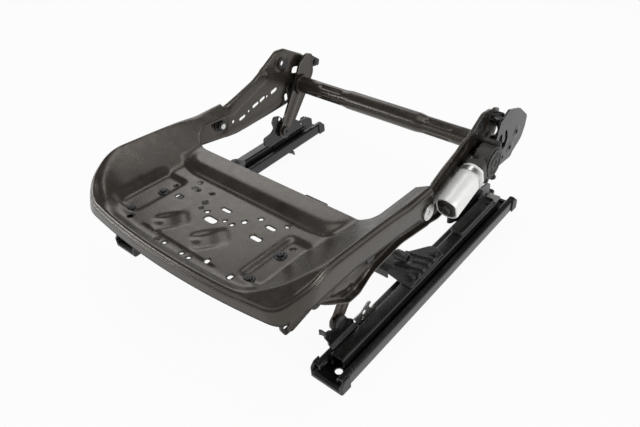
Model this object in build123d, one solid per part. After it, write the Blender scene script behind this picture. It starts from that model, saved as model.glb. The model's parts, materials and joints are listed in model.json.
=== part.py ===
from build123d import *
from math import acos, atan2, cos, degrees, hypot, pi, radians, sin, tan
import os

# The frame of a powered front seat cushion on its two floor tracks.
# X runs across the seat, Y to the rear and Z up. The origin is the centre of the four floor bolt
# holes, on the underside of the lower rails. Every length is in millimetres.

# Floor tracks
RAIL_X = 216.5
RAIL_FRONT = -230.0
RAIL_REAR = {"left": 254.0, "right": 242.0}
RAIL_SHEET = 2.0
RAIL_BEND = 1.5
LOWER_WIDTH = 49.0
LOWER_HEIGHT = 21.5
LOWER_LIP = 9.0
LOWER_LIP_DROP = 6.0
UPPER_WIDTH = 21.0
UPPER_TOP = 33.0
UPPER_FOOT = 8.6
UPPER_WING = 39.0
UPPER_WING_RISE = 8.0
UPPER_FRONT = -206.0
UPPER_REAR = 202.0
CAP_LENGTH = 18.0
CAP_NOSE = 6.0
CAP_WALL = 2.0
CAP_FLOOR = 5.0
CAP_SLOPE = 9.0
FLOOR_BOLT_Y = 204.0
FLOOR_BOLT_HOLE = 10.5
HOOK_INNER = 193.0
HOOK_OUTER = 201.0

# Balls and drive inside the tracks
BALL = 6.0
BALL_GAP = 0.3
BALLS_IN_ROW = 4
CARRIAGE_LENGTH = 300.0
SPINDLE = 9.0
SPINDLE_Z = 18.0
SPINDLE_END = 190.0
SUPPORT_AT = 168.0
SUPPORT_RISE = 24.0

# Slide drive between the tracks
GEARBOX_BRACKET_SHEET = 3.0
BRACKET_SCREWS_Y = (-36.0, 24.0)
SCREW_SHANK = 3.2
BEAM_END = 178.0
DRIVE_AXIS = (-20.0, 51.0)
SLIDE_MOTOR_RADIUS = 17.5
SLIDE_MOTOR_ENDS = (-78.0, -8.0)
SLIDE_GEARBOX_END = 34.0
SLIDE_HUB_RADIUS = 8.0
SLIDE_HUB_LENGTH = 8.0
SLEEVE_RADIUS = 4.5
SCREW_HEAD = 6.5
SCREW_SOCKET = 2.5

# Cover on the right track
COVER_X = 215.25
COVER_WIDTH = 21.5
COVER_RISE = 7.0
COVER_FRONT = 84.0
COVER_REAR = 190.0

# Lift linkage: a parallelogram, so all four links share one vector
LINK_REACH = 57.0
LINK_RISE = 75.0
REAR_PIVOT = (140.0, 55.0)
FRONT_PIVOT = (-175.0, 55.0)
TUBE_AXIS = (REAR_PIVOT[0] + LINK_REACH, REAR_PIVOT[1] + LINK_RISE)
FRONT_UPPER_PIVOT = (FRONT_PIVOT[0] + LINK_REACH, FRONT_PIVOT[1] + LINK_RISE)
LINK_INNER = 191.0
LINK_OUTER = 195.0
BRACKET_INNER = 197.0
BRACKET_OUTER = 200.0
STEP_TOP = 36.0
PIVOT_PIN = 10.0
PIVOT_CLEARANCE = 0.1
SIDE_PLAY = 0.4
RIVET_HEAD = 9.0
RIVET_HEAD_HEIGHT = 3.0
RIVET_DIMPLE = 2.5
LINK_END = 12.0
REAR_LINK_END = 14.0
REAR_LINK_HUB = 20.0

# Side members
WEB_INNER = 202.0
WEB_OUTER = 204.0
MEMBER_LIP = 213.0
MEMBER_TOP_LIP = 208.5
MEMBER_SHEET = 2.0

BACKREST_BOLT = (159.0, 185.0)
BACKREST_BOSS = 10.0
BACKREST_BOSS_HEIGHT = 5.0
BACKREST_THREAD = 5.0

# Torque tube
TUBE_RADIUS = 15.0
TUBE_MIDDLE_RADIUS = 16.5
TUBE_CRUSHED_RADIUS = 13.5
TUBE_JOURNAL = 12.0
TUBE_WALL = 2.5
TUBE_COLLAR = 18.0
TUBE_COLLAR_LENGTH = 4.0
FLUTE_MIDDLE = 114.0
FLUTE_LENGTH = 46.0
FLUTE_RADIUS = 4.0

# Lift gears
GEAR_MODULE = 2.0
SECTOR_TEETH = 44
PINION_TEETH = 14
GEAR_BACKLASH = 0.25
PRESSURE_ANGLE = radians(20)
PINION_DIRECTION = radians(168)
SECTOR_HUB = 19.0
SECTOR_INNER = 208.0
SECTOR_OUTER = 212.0
PINION_SHAFT = 7.0
PINION_END = 224.0

# Lift motor
MOTOR_RADIUS = 19.5
MOTOR_FLAT = 16.5
MOTOR_LENGTH = 71.0
MOTOR_SLOPE = 15.5
MOTOR_X = 226.5
MOTOR_OFFSET = 12.5
MOTOR_NECK = 38.0
HOUSING_RADIUS = 26.0
HOUSING_INNER = 215.0
HOUSING_OUTER = 237.0
HOUSING_SCREW_ANGLES = (70, 225, 280)
HOUSING_SCREW_RADIUS = 5.0
OUTER_PLATE = 222.0
OUTER_PLATE_POSTS = [(186, 184), (232, 152), (226, 124)]
HARNESS_STUD = (251.0, 151.0)

# Seat pan
PAN_SHEET = 1.2
PAN_HALF = 215.0
PAN_FRONT = -291.5
PAN_REAR = 12.0
PAN_BOW = 9.5
PAN_BOW_AT = 150.0
PAN_CORNERS = (66.0, 40.0)
PAN_EDGE = 5.0
PAN_FLOOR = 146.0
PAN_FLOOR_AT = -258.0
PAN_FLOOR_SLOPE = 0.055
PAN_CREST = [
    (-312, 157),
    (-268, 157),
    (-248, 172),
    (-213, 183),
    (-165, 190.5),
    (-40, 166.5),
    (26, 166.5),
]
PAN_CREST_BENDS = [30.0, 30.0, 90.0, 90.0, 90.0]
PAN_BRIM_CORNERS = (100.0, 70.0)
SKIRT_LEVEL = 136.0
BRIM_LEVEL = 196.0
LIP_RISE = 8.0
PAD_DEPTH = 4.0
POCKET_DEPTH = 3.0
POCKET_TURN = 55.0
PAN_POCKETS = [((-48, -227), 50, 36), ((25, -222), 54, 38)]
SEAT_OPENING_FRONT = -82.0
SEAT_OPENING_HALF = 188.0
SEAT_OPENING_CORNER = 14.0
PAN_PIVOT = (-2.0, 133.0)
LUG_RADIUS = 15.0
PAN_BOLT_X = 118.0
PAN_BOLTS_Y = (-243.9, -188.0)

# Holes in the pan's floor: round ones as x, y, radius and slots as x, y, half reach, radius
PAN_ROUND_HOLES = [
    (-100.6, -257.7, 4.0),
    (100.6, -257.7, 4.0),
    (-49.8, -250.1, 3.2),
    (49.8, -250.1, 3.2),
    (-30.8, -263.9, 2.5),
    (30.8, -263.9, 2.5),
    (-89.4, -142.5, 4.0),
    (89.4, -142.5, 4.0),
    (-48.7, -152.3, 3.2),
    (48.7, -152.3, 3.2),
    (-44.5, -170.7, 4.0),
    (-37.6, -184.1, 2.5),
    (-23.1, -184.8, 2.5),
    (11.8, -185.0, 2.5),
    (25.3, -184.8, 2.5),
    (35.2, -170.7, 4.0),
]
PAN_SLOTS = [
    (-76.6, -159.3, 5.0, 3.0),
    (76.6, -159.3, 5.0, 3.0),
    (-85.2, -184.1, 3.0, 3.5),
    (-3.7, -166.9, 5.0, 2.5),
    (-5.6, -193.8, 7.0, 6.0),
    (72.1, -185.5, 5.0, 3.0),
]

# Tilt shaft under the front of the pan
TILT_AXIS = (-203.0, 115.0)
TILT_RADIUS = 8.0
CRANK_LENGTH = 41.0
CRANK_REST = radians(-18)
CRANK_INNER = 181.0
CRANK_OUTER = 184.0
HANGER_INNER = 186.0
HANGER_OUTER = 188.5
CRANK_PIN = 8.0
SLOT_REACH = 6.0
SLOT_CLEARANCE = 0.35
BRACKET_SHEET = 2.5
EAR_INNER = 176.0
EAR_OUTER = 178.5

SIDES = {"left": -1, "right": 1}


def across_section(y):
    """Plane across the rails at y, drawn on as (x, z)."""
    return Plane(origin=(0, y, 0), x_dir=(1, 0, 0), z_dir=(0, -1, 0))


def side_section(x):
    """Plane along the seat at x, drawn on as (y, z)."""
    return Plane(origin=(x, 0, 0), x_dir=(0, 1, 0), z_dir=(1, 0, 0))


def along_y(face, front, rear):
    return extrude(across_section(front) * face, amount=front - rear)


def across_x(face, inner, outer):
    return extrude(side_section(inner) * face, amount=outer - inner)


def upright(face, bottom, top):
    return extrude(Pos(0, 0, bottom) * face, amount=top - bottom)


def disc(centre, radius):
    return Pos(centre[0], centre[1]) * Circle(radius)


def rod_x(centre, radius, inner, outer):
    return across_x(disc(centre, radius), inner, outer)


def bore_x(centre, radius):
    """Cutter through any plate between a link and a side member on the right side."""
    return rod_x(centre, radius, BRACKET_INNER - 50, WEB_OUTER + 16)


def rounded(points, radius):
    """Closed outline with every corner rounded by radius, or by its own radius from a list."""
    return make_face(FilletPolyline(*points, radius=radius, close=True))


def slot(start, end, radius):
    """Long hole between two centres."""
    middle = ((start[0] + end[0]) / 2, (start[1] + end[1]) / 2)
    run = (end[0] - start[0], end[1] - start[1])
    angle = degrees(atan2(run[1], run[0]))
    return Pos(*middle) * Rot(0, 0, angle) * SlotCenterToCenter(hypot(*run), 2 * radius)


def folded(points, sheet, bend):
    """Section of a folded sheet whose middle runs through points, with rounded bends."""
    left, right, left_bends, right_bends = [], [], [], []
    last = len(points) - 1
    for index, (x, y) in enumerate(points):
        before = points[max(index - 1, 0)]
        after = points[min(index + 1, last)]
        into = Vector(x - before[0], y - before[1]) if index else None
        out_of = Vector(after[0] - x, after[1] - y) if index < last else None
        into = (into or out_of).normalized()
        out_of = (out_of or into).normalized()
        mitre = Vector(-into.Y - out_of.Y, into.X + out_of.X)
        side = Vector(-into.Y, into.X)
        mitre = mitre * (sheet / 2 / mitre.dot(side))
        left.append((x + mitre.X, y + mitre.Y))
        right.append((x - mitre.X, y - mitre.Y))
        if 0 < index < last:
            turns_left = into.X * out_of.Y - into.Y * out_of.X > 0
            left_bends.append(bend if turns_left else bend + sheet)
            right_bends.append(bend + sheet if turns_left else bend)
    edges = (
        FilletPolyline(*left, radius=left_bends)
        + Line(left[-1], right[-1])
        + FilletPolyline(*reversed(right), radius=right_bends[::-1])
        + Line(right[0], left[0])
    )
    return make_face(edges)


def mirrored(half):
    """Points of a left half, then of its mirror image, for a section about x = 0."""
    return half + [(-x, z) for x, z in reversed(half)]


def both_sides(make):
    """Solids of a piece and of its mirror image across the seat."""
    right = make()
    return {"right": right, "left": mirror(right, about=Plane.YZ)}


# Lower rails, caps and floor hooks


def lower_rail(side):
    half = LOWER_WIDTH / 2 - RAIL_SHEET / 2
    top = LOWER_HEIGHT - RAIL_SHEET / 2
    lip = half - LOWER_LIP
    profile = folded(
        mirrored([(-lip, top - LOWER_LIP_DROP), (-lip, top), (-half, top), (-half, 1.0)]),
        RAIL_SHEET,
        RAIL_BEND,
    )
    profile = Pos(SIDES[side] * RAIL_X, 0) * profile
    rail = along_y(profile, RAIL_FRONT + CAP_NOSE, RAIL_REAR[side] - CAP_NOSE)
    for y in (-FLOOR_BOLT_Y, FLOOR_BOLT_Y):
        rail -= upright(disc((SIDES[side] * RAIL_X, y), FLOOR_BOLT_HOLE / 2), -1, RAIL_SHEET + 1)
    return rail


def rail_cap():
    """Open cap for a lower rail's rear end, with its nose at y = 0 and its middle at x = 0."""
    half = LOWER_WIDTH / 2
    height = LOWER_HEIGHT + 1.0
    tray = Rectangle(2 * (half + CAP_WALL), height, align=(Align.CENTER, Align.MIN))
    passage = Pos(0, CAP_FLOOR) * Rectangle(2 * half - 4.0, height, align=(Align.CENTER, Align.MIN))
    cap = along_y(tray - passage, -CAP_NOSE, 0)
    sleeve = Rectangle(2 * (half + CAP_WALL), height - 1.0, align=(Align.CENTER, Align.MIN))
    sleeve -= Rectangle(2 * half, 2 * height)
    cap += along_y(sleeve, -CAP_LENGTH, -CAP_NOSE)
    upright_edges = cap.edges().filter_by(Axis.Z).group_by(Axis.Y)[-1]
    cap = fillet([edge for edge in upright_edges if abs(edge.center().X) > half], 3.0)
    corner = [(-CAP_SLOPE, height), (0, height - CAP_SLOPE), (1, height + 1), (-CAP_SLOPE, height + 1)]
    cap -= across_x(make_face(Polyline(*corner, close=True)), -half - 5, half + 5)
    for side in SIDES.values():
        tongue = Pos(side * (half - 3.5), -CAP_NOSE - 5.0, CAP_FLOOR - 1.0)
        cap += tongue * Box(2.0, 10.0, 7.0, align=(Align.CENTER, Align.MIN, Align.MIN))
    return cap


def rail_rear_caps():
    return Part() + [Pos(sign * RAIL_X, RAIL_REAR[side], 0) * rail_cap() for side, sign in SIDES.items()]


def rail_front_caps():
    front_cap = mirror(rail_cap(), about=Plane.XZ)
    return Part() + [Pos(sign * RAIL_X, RAIL_FRONT, 0) * front_cap for sign in SIDES.values()]


def locating_hooks():
    """Small hooks under the rails that drop into slots in the car floor."""
    shape = folded([(148.0, -1.25), (158.0, -1.25), (160.0, -11.0)], 2.5, 1.5)
    hook = across_x(shape, HOOK_INNER, HOOK_OUTER)
    return Part() + [hook, mirror(hook, about=Plane.YZ)]


# Balls, cages and drive inside the tracks


def ball_places():
    spacing = CARRIAGE_LENGTH / (BALLS_IN_ROW - 1)
    first = -CARRIAGE_LENGTH / 2
    return [first + spacing * index for index in range(BALLS_IN_ROW)]


def ball_rows():
    """Places of the two ball rows in the section, in the lower rail's low corners."""
    reach = LOWER_WIDTH / 2 - RAIL_SHEET - BALL / 2 - BALL_GAP
    height = RAIL_SHEET + BALL / 2 + BALL_GAP
    return [(-reach, height), (reach, height)]


def track_balls():
    balls = []
    for side in SIDES.values():
        for x, z in ball_rows():
            for y in ball_places():
                balls.append(Pos(side * RAIL_X + x, y, z) * Sphere(BALL / 2))
    return Part() + balls


def ball_cages():
    cages = []
    for side in SIDES.values():
        for x, z in ball_rows():
            bar = Pos(side * RAIL_X + x, 0, z) * Box(2.2, CARRIAGE_LENGTH + 16.0, 3.0)
            for y in ball_places():
                bar -= Pos(side * RAIL_X + x, y, z) * Sphere(BALL / 2 + 0.2)
            cages.append(bar)
    return Part() + cages


def slide_spindles():
    return Part() + [
        along_y(disc((side * RAIL_X, SPINDLE_Z), SPINDLE / 2), -SPINDLE_END, SPINDLE_END)
        for side in SIDES.values()
    ]


def spindle_supports():
    outline = folded([(0, 1.25), (14.0, 1.25), (14.0, SUPPORT_RISE)], 2.5, 2.0)
    support = Pos(0, SUPPORT_AT, RAIL_SHEET) * across_x(outline, -6.0, 6.0)
    support -= along_y(disc((0, SPINDLE_Z), SPINDLE / 2), 0, SPINDLE_END)
    pair = [support, mirror(support, about=Plane.XZ)]
    return Part() + [Pos(side * RAIL_X, 0, 0) * foot for side in SIDES.values() for foot in pair]


# Upper rails and what they carry


def upper_rail():
    top = UPPER_TOP - RAIL_SHEET / 2
    wall = UPPER_WIDTH / 2 - RAIL_SHEET / 2
    wing = UPPER_WING / 2 - RAIL_SHEET / 2
    foot = UPPER_FOOT + RAIL_SHEET / 2
    profile = folded(
        mirrored([(-wing, foot + UPPER_WING_RISE), (-wing, foot), (-wall, foot), (-wall, top)]),
        RAIL_SHEET,
        RAIL_BEND,
    )
    return along_y(Pos(RAIL_X, 0) * profile, UPPER_FRONT, UPPER_REAR)


def rail_end_tabs():
    tabs = []
    for side in SIDES.values():
        tab = Pos(side * RAIL_X, COVER_REAR + 1.0, UPPER_TOP)
        length = UPPER_REAR + 6.0 - COVER_REAR
        tabs.append(tab * Box(20.0, length, 1.5, align=(Align.CENTER, Align.MIN, Align.MIN)))
    return Part() + tabs


def link_bracket(outline, foot_front, foot_rear):
    """Folded bracket: a foot on the upper rail's inner wall, stepped in to the plane of outline."""
    sheet = BRACKET_OUTER - BRACKET_INNER
    wall = RAIL_X - UPPER_WIDTH / 2 - sheet / 2
    plane = BRACKET_INNER + sheet / 2
    step = folded([(wall, 23.0), (wall, 30.0), (plane, STEP_TOP), (plane, STEP_TOP + 4.0)], sheet, 2.0)
    bracket = along_y(step, foot_front, foot_rear)
    return bracket + across_x(outline, BRACKET_INNER, BRACKET_OUTER)


def front_link_bracket():
    y, z = FRONT_PIVOT
    outline = rounded(
        [
            (y - 24, STEP_TOP),
            (y - 25, z - 14),
            (y - 31, z),
            (y - 28, z + 8),
            (y - 21, z + 6),
            (y - 15, z - 1),
            (y - 13, z + 11),
            (y - 4, z + 16),
            (y + 8, z + 10),
            (y + 14, z - 2),
            (y + 25, z - 13),
            (y + 27, STEP_TOP),
        ],
        [1, 5, 3, 3, 3, 3, 5, 7, 6, 6, 4, 1],
    )
    bracket = link_bracket(outline, y - 24, y + 27)
    bracket -= bore_x(FRONT_PIVOT, PIVOT_PIN / 2)
    bracket -= bore_x((y - 24, z - 2), 2.0)
    tab = Pos(BRACKET_INNER - 9, y - 30, z - 2) * Box(9.5, 3, 9, align=Align.MIN)
    return bracket + tab


def rear_link_bracket():
    y, z = REAR_PIVOT
    outline = rounded(
        [
            (y - 24, STEP_TOP),
            (y - 40, z - 17),
            (y - 52, z - 10),
            (y - 52, z + 5),
            (y - 30, z + 8),
            (y - 23, z + 14),
            (y - 26, z + 28),
            (y - 19, z + 37),
            (y - 6, z + 33),
            (y + 10, z + 17),
            (y + 36, z + 7),
            (y + 47, z - 3),
            (y + 74, z - 7),
            (y + 83, z - 14),
            (y + 83, z - 33),
            (y + 62, STEP_TOP),
        ],
        [2, 4, 4, 4, 6, 4, 5, 5, 5, 12, 10, 6, 6, 3, 3, 2],
    )
    bracket = link_bracket(outline, y - 24, UPPER_REAR)
    bracket -= bore_x(REAR_PIVOT, PIVOT_PIN / 2)
    bracket -= bore_x((y - 5, z + 26), 4.0)
    return bracket


def lower_link_rivets():
    """The four rivets that the links turn on at the tracks."""
    rivets = []
    for side in SIDES.values():
        for pivot in (FRONT_PIVOT, REAR_PIVOT):
            under_head = LINK_INNER - SIDE_PLAY
            head_top = under_head - RIVET_HEAD_HEIGHT
            rivet = rod_x(pivot, PIVOT_PIN / 2, under_head, BRACKET_OUTER)
            rivet += rod_x(pivot, RIVET_HEAD, head_top, under_head)
            rivet += rod_x(pivot, RIVET_HEAD - 2.0, BRACKET_OUTER, BRACKET_OUTER + 1.6)
            rivet -= rod_x(pivot, RIVET_DIMPLE, head_top - 1.0, head_top + 1.9)
            rivets.append(rivet if side > 0 else mirror(rivet, about=Plane.YZ))
    return Part() + rivets


def slide_gearboxes():
    boxes = []
    width = UPPER_WIDTH - 2 * RAIL_SHEET - 2 * RAIL_BEND - 1.0
    top = UPPER_TOP - RAIL_SHEET
    for side in SIDES.values():
        box = Pos(side * RAIL_X, -5.0, top) * Box(
            width, 44.0, 26.0, align=(Align.CENTER, Align.CENTER, Align.MAX)
        )
        box -= along_y(disc((side * RAIL_X, SPINDLE_Z), SPINDLE / 2 + 0.3), -60, 60)
        boxes.append(box)
    return Part() + boxes


def gearbox_bracket():
    """Ribbed bracket over the slide gearbox, made for the right side."""
    top = UPPER_TOP + GEARBOX_BRACKET_SHEET
    plate = rounded(
        [
            (RAIL_X + 9, -52),
            (RAIL_X - 4, -52),
            (BEAM_END, -46),
            (BEAM_END, 6),
            (201, 41),
            (RAIL_X + 9, 36),
        ],
        [2, 4, 6, 8, 8, 4],
    )
    bracket = upright(plate, UPPER_TOP, top)
    for y in (-34.0, -6.0):
        rib = Pos(BEAM_END + 2, y, top) * Box(27, 5.0, 5.0, align=(Align.MIN, Align.CENTER, Align.MIN))
        bracket += rib
    bracket += Pos(BEAM_END, -42, UPPER_TOP - 12) * Box(3.0, 44, 12, align=Align.MIN)
    bracket += rod_x(DRIVE_AXIS, 7.0, BEAM_END, 198.0)
    bracket += Pos(BEAM_END, DRIVE_AXIS[0], top) * Box(
        20, 11, DRIVE_AXIS[1] - top, align=(Align.MIN, Align.CENTER, Align.MIN)
    )
    for y in BRACKET_SCREWS_Y:
        bracket -= upright(disc((RAIL_X, y), SCREW_SHANK), UPPER_TOP - 1, top + 1)
    return bracket


def bracket_screws():
    screws = []
    base = UPPER_TOP + GEARBOX_BRACKET_SHEET
    for side in SIDES.values():
        for y in BRACKET_SCREWS_Y:
            centre = (side * RAIL_X, y)
            screw = upright(disc(centre, SCREW_HEAD), base, base + 3.0)
            screw += upright(disc(centre, SCREW_SHANK), UPPER_TOP, base)
            screws.append(screw - upright(disc(centre, SCREW_SOCKET), base + 1.0, base + 4.0))
    return Part() + screws


def slide_beam():
    """Folded beam between the two gearbox brackets, which carries the slide motor."""
    low = UPPER_TOP - 15
    top = UPPER_TOP - 1
    section = folded([(-21, low), (-21, top), (21, top), (21, low)], 2.0, 2.0)
    return across_x(Pos(DRIVE_AXIS[0], 0) * section, -BEAM_END, BEAM_END)


def slide_motor():
    return rod_x(DRIVE_AXIS, SLIDE_MOTOR_RADIUS, *SLIDE_MOTOR_ENDS)


def slide_motor_housing():
    y, z = DRIVE_AXIS
    height = 2 * (z - UPPER_TOP)
    left, right = SLIDE_MOTOR_ENDS
    body = across_x(Pos(y, z) * RectangleRounded(38, height, 6), right, SLIDE_GEARBOX_END)
    body += rod_x(DRIVE_AXIS, SLIDE_HUB_RADIUS, SLIDE_GEARBOX_END, SLIDE_GEARBOX_END + SLIDE_HUB_LENGTH)
    return body + rod_x(DRIVE_AXIS, SLIDE_HUB_RADIUS, left - SLIDE_HUB_LENGTH, left)


def drive_sleeves():
    right = rod_x(DRIVE_AXIS, SLEEVE_RADIUS, SLIDE_GEARBOX_END + SLIDE_HUB_LENGTH, BEAM_END)
    left = rod_x(DRIVE_AXIS, SLEEVE_RADIUS, -BEAM_END, SLIDE_MOTOR_ENDS[0] - SLIDE_HUB_LENGTH)
    return Part() + [right, left]


def cable_bracket():
    """Zinc plate with two holes and a hook, on the inner wall of the right upper rail."""
    outline = rounded(
        [
            (-146, 26),
            (-146, 33),
            (-157, 51),
            (-140, 50),
            (-124, 58),
            (-118, 52),
            (-124, 48),
            (-119, 40),
            (-113, 40),
            (-109, 32),
            (-114, 26),
        ],
        [1, 2, 1, 6, 3, 1.5, 2, 3, 2, 2, 1],
    )
    wall = RAIL_X - UPPER_WIDTH / 2
    plate = across_x(outline, wall - 1.5, wall)
    for centre, radius in (((-134, 45), 3.4), ((-138, 37), 2.4)):
        plate -= bore_x(centre, radius)
    return plate


def track_cover():
    """Folded cover on the rear of the right upper rail."""
    profile = Rectangle(COVER_WIDTH, COVER_RISE, align=(Align.CENTER, Align.MIN))
    profile -= Rectangle(COVER_WIDTH - 4.0, COVER_RISE - 2.0, align=(Align.CENTER, Align.MIN))
    cover = along_y(Pos(COVER_X, UPPER_TOP) * profile, COVER_FRONT, COVER_REAR)
    return cover - upright(disc((RAIL_X + 3, COVER_REAR - 14.0), 2.5), UPPER_TOP, UPPER_TOP + 12)


# Lift linkage


def link(lower, upper, lower_radius, upper_radius):
    """Outline of a link: two round ends joined by tangent flanks."""
    angle = atan2(upper[1] - lower[1], upper[0] - lower[0])
    span = hypot(upper[0] - lower[0], upper[1] - lower[1])
    spread = acos((lower_radius - upper_radius) / span)
    flank = [
        (lower[0] + lower_radius * cos(angle + spread), lower[1] + lower_radius * sin(angle + spread)),
        (upper[0] + upper_radius * cos(angle + spread), upper[1] + upper_radius * sin(angle + spread)),
        (upper[0] + upper_radius * cos(angle - spread), upper[1] + upper_radius * sin(angle - spread)),
        (lower[0] + lower_radius * cos(angle - spread), lower[1] + lower_radius * sin(angle - spread)),
    ]
    return make_face(Polyline(*flank, close=True)) + disc(lower, lower_radius) + disc(upper, upper_radius)


def front_link():
    outline = link(FRONT_PIVOT, FRONT_UPPER_PIVOT, LINK_END, LINK_END)
    plate = across_x(outline, LINK_INNER, LINK_OUTER)
    hole = PIVOT_PIN / 2 + PIVOT_CLEARANCE
    plate -= bore_x(FRONT_PIVOT, hole)
    plate -= bore_x(FRONT_UPPER_PIVOT, hole)
    return plate


def rear_link():
    y, z = TUBE_AXIS
    head = rounded(
        [
            (y - 19, z + 2),
            (y - 2, z + 40),
            (y + 20, z + 54),
            (y + 36, z + 48),
            (y + 34, z + 12),
            (y + 12, z - 18),
        ],
        [8, 8, 8, 8, 20, 10],
    )
    outline = link(REAR_PIVOT, TUBE_AXIS, REAR_LINK_END, REAR_LINK_HUB) + head
    plate = across_x(outline, LINK_INNER, LINK_OUTER)
    plate -= bore_x(REAR_PIVOT, PIVOT_PIN / 2 + PIVOT_CLEARANCE)
    plate -= bore_x(TUBE_AXIS, TUBE_JOURNAL)
    return plate


def torque_tube():
    """Tube between the rear links, with two crushed and fluted lengths."""
    half = [
        (0, TUBE_MIDDLE_RADIUS),
        (74, TUBE_MIDDLE_RADIUS),
        (86, TUBE_CRUSHED_RADIUS),
        (142, TUBE_CRUSHED_RADIUS),
        (152, TUBE_RADIUS),
        (LINK_INNER, TUBE_RADIUS),
        (LINK_INNER, TUBE_JOURNAL),
        (SECTOR_OUTER + 2, TUBE_JOURNAL),
    ]
    outline = [(-x, r) for x, r in reversed(half[1:])] + half
    inner = SECTOR_OUTER + 2
    bore = TUBE_JOURNAL - TUBE_WALL
    tube = revolve(make_face(Polyline(*outline, (inner, bore), (-inner, bore), close=True)), Axis.X)
    for side in SIDES.values():
        for angle in range(0, 360, 90):
            groove = Pos(side * FLUTE_MIDDLE, 0, 0) * Rot(angle, 0, 0)
            groove *= Pos(0, 0, TUBE_CRUSHED_RADIUS + 1.2) * Rot(0, 90, 0)
            tube -= groove * Cylinder(FLUTE_RADIUS, FLUTE_LENGTH)
    tube = Pos(0, *TUBE_AXIS) * tube
    for side in SIDES.values():
        ring = rod_x(TUBE_AXIS, TUBE_COLLAR, LINK_INNER - TUBE_COLLAR_LENGTH, LINK_INNER)
        ring -= rod_x(TUBE_AXIS, TUBE_JOURNAL, LINK_INNER - TUBE_COLLAR_LENGTH - 1, LINK_INNER + 1)
        tube += ring if side > 0 else mirror(ring, about=Plane.YZ)
    return tube


def tooth_flank(teeth, points):
    """Radius and half angle of one involute tooth, from root to tip."""
    pitch = GEAR_MODULE * teeth / 2
    base = pitch * cos(PRESSURE_ANGLE)
    tip = pitch + 0.85 * GEAR_MODULE
    root = pitch - 1.1 * GEAR_MODULE
    half_at_pitch = pi / (2 * teeth) - GEAR_BACKLASH / (2 * pitch)
    at_pitch = tan(PRESSURE_ANGLE) - PRESSURE_ANGLE
    flank = []
    for step in range(points):
        radius = root + (tip - root) * step / (points - 1)
        roll = acos(min(base / radius, 1.0))
        flank.append((radius, half_at_pitch + at_pitch - (tan(roll) - roll)))
    return flank


def toothed_arc(teeth, middles):
    """Points along teeth whose middles are at the given angles, counterclockwise."""
    flank = tooth_flank(teeth, 4)
    points = []
    for middle in middles:
        points += [(r * cos(middle - half), r * sin(middle - half)) for r, half in flank]
        points += [(r * cos(middle + half), r * sin(middle + half)) for r, half in reversed(flank)]
    return points


def sector_gear():
    """Toothed sector on the torque tube's right end, in mesh with the pinion at rest."""
    pitch = 2 * pi / SECTOR_TEETH
    middles = [PINION_DIRECTION + pitch * (index + 0.5) for index in range(-4, 4)]
    arc = toothed_arc(SECTOR_TEETH, middles)
    body = make_face(Polyline((0, 0), *arc, close=True)) + Circle(SECTOR_HUB)
    gear = across_x(Pos(*TUBE_AXIS) * body, SECTOR_INNER, SECTOR_OUTER)
    return gear - bore_x(TUBE_AXIS, TUBE_JOURNAL)


def pinion_axis():
    distance = GEAR_MODULE * (SECTOR_TEETH + PINION_TEETH) / 2
    return (
        TUBE_AXIS[0] + distance * cos(PINION_DIRECTION),
        TUBE_AXIS[1] + distance * sin(PINION_DIRECTION),
    )


def lift_pinion():
    facing = PINION_DIRECTION + pi
    middles = [facing + 2 * pi * index / PINION_TEETH for index in range(PINION_TEETH)]
    teeth = make_face(Polyline(*toothed_arc(PINION_TEETH, middles), close=True))
    pinion = across_x(Pos(*pinion_axis()) * teeth, SECTOR_INNER - 1, SECTOR_OUTER + 1)
    return pinion + rod_x(pinion_axis(), PINION_SHAFT, SECTOR_OUTER + 1, PINION_END)


# Cushion frame


def member_outline():
    points = [
        (-195, 116),
        (-172, 99),
        (-150, 98),
        (-124, 112),
        (-60, 116),
        (32, 98),
        (155, 98),
        (212, 100),
        (244, 128),
        (248, 150),
        (218, 180),
        (174, 206),
        (153, 209),
        (122, 193),
        (88, 178),
        (50, 168),
        (18, 159),
        (-70, 158),
        (-170, 170),
        (-212, 158),
        (-228, 144),
        (-224, 134),
    ]
    bends = [30, 15, 15, 40, 60, 60, 60, 20, 12, 20, 20, 12, 12, 30, 30, 30, 20, 60, 30, 16, 8, 8]
    return points, bends


def side_member():
    points, bends = member_outline()
    outline = rounded(points, bends)
    inset = offset(outline, amount=-MEMBER_SHEET)
    member = across_x(outline, WEB_INNER, MEMBER_LIP) - across_x(inset, WEB_OUTER, MEMBER_LIP + 1)
    holes = [
        disc((28, 125), 3.0),
        slot((45, 122.0), (55, 123.5), 3.0),
        disc((67, 128), 2.5),
        slot((80, 131.5), (90, 133.5), 3.2),
        slot((99, 135.0), (107, 137.0), 3.2),
        disc((115, 136.5), 2.5),
        slot((129, 138.5), (139, 140.5), 3.5),
        slot((163, 110), (163, 117), 4.5),
        disc(BACKREST_BOLT, BACKREST_THREAD + 1.0),
        slot((192, 158), (208, 153), 6.5),
        disc(PAN_PIVOT, 6.0),
        disc(TUBE_AXIS, TUBE_JOURNAL + 2.5),
        disc(FRONT_UPPER_PIVOT, PIVOT_PIN / 2),
    ]
    for hole in holes:
        member -= across_x(hole, WEB_INNER - 1, WEB_OUTER + 1)
    rear_top = make_face(Polyline((25, 145), (260, 145), (260, 215), (25, 215), close=True))
    member -= across_x(rear_top, MEMBER_TOP_LIP, MEMBER_LIP + 1)
    under_pan = pan_shape(MEMBER_LIP + 1, MEMBER_LIP + 1, PAN_FRONT + 3, (90.0, 90.0), 300)
    return member & upright(under_pan, 0, 300)


def torque_tube_bushes():
    bush = rod_x(TUBE_AXIS, TUBE_JOURNAL + 2.5, WEB_INNER, WEB_OUTER)
    bush += rod_x(TUBE_AXIS, TUBE_JOURNAL + 5.0, WEB_OUTER, WEB_OUTER + 1.5)
    bush -= rod_x(TUBE_AXIS, TUBE_JOURNAL + 0.05, WEB_INNER - 1, WEB_OUTER + 3)
    return Part() + [bush, mirror(bush, about=Plane.YZ)]


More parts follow.
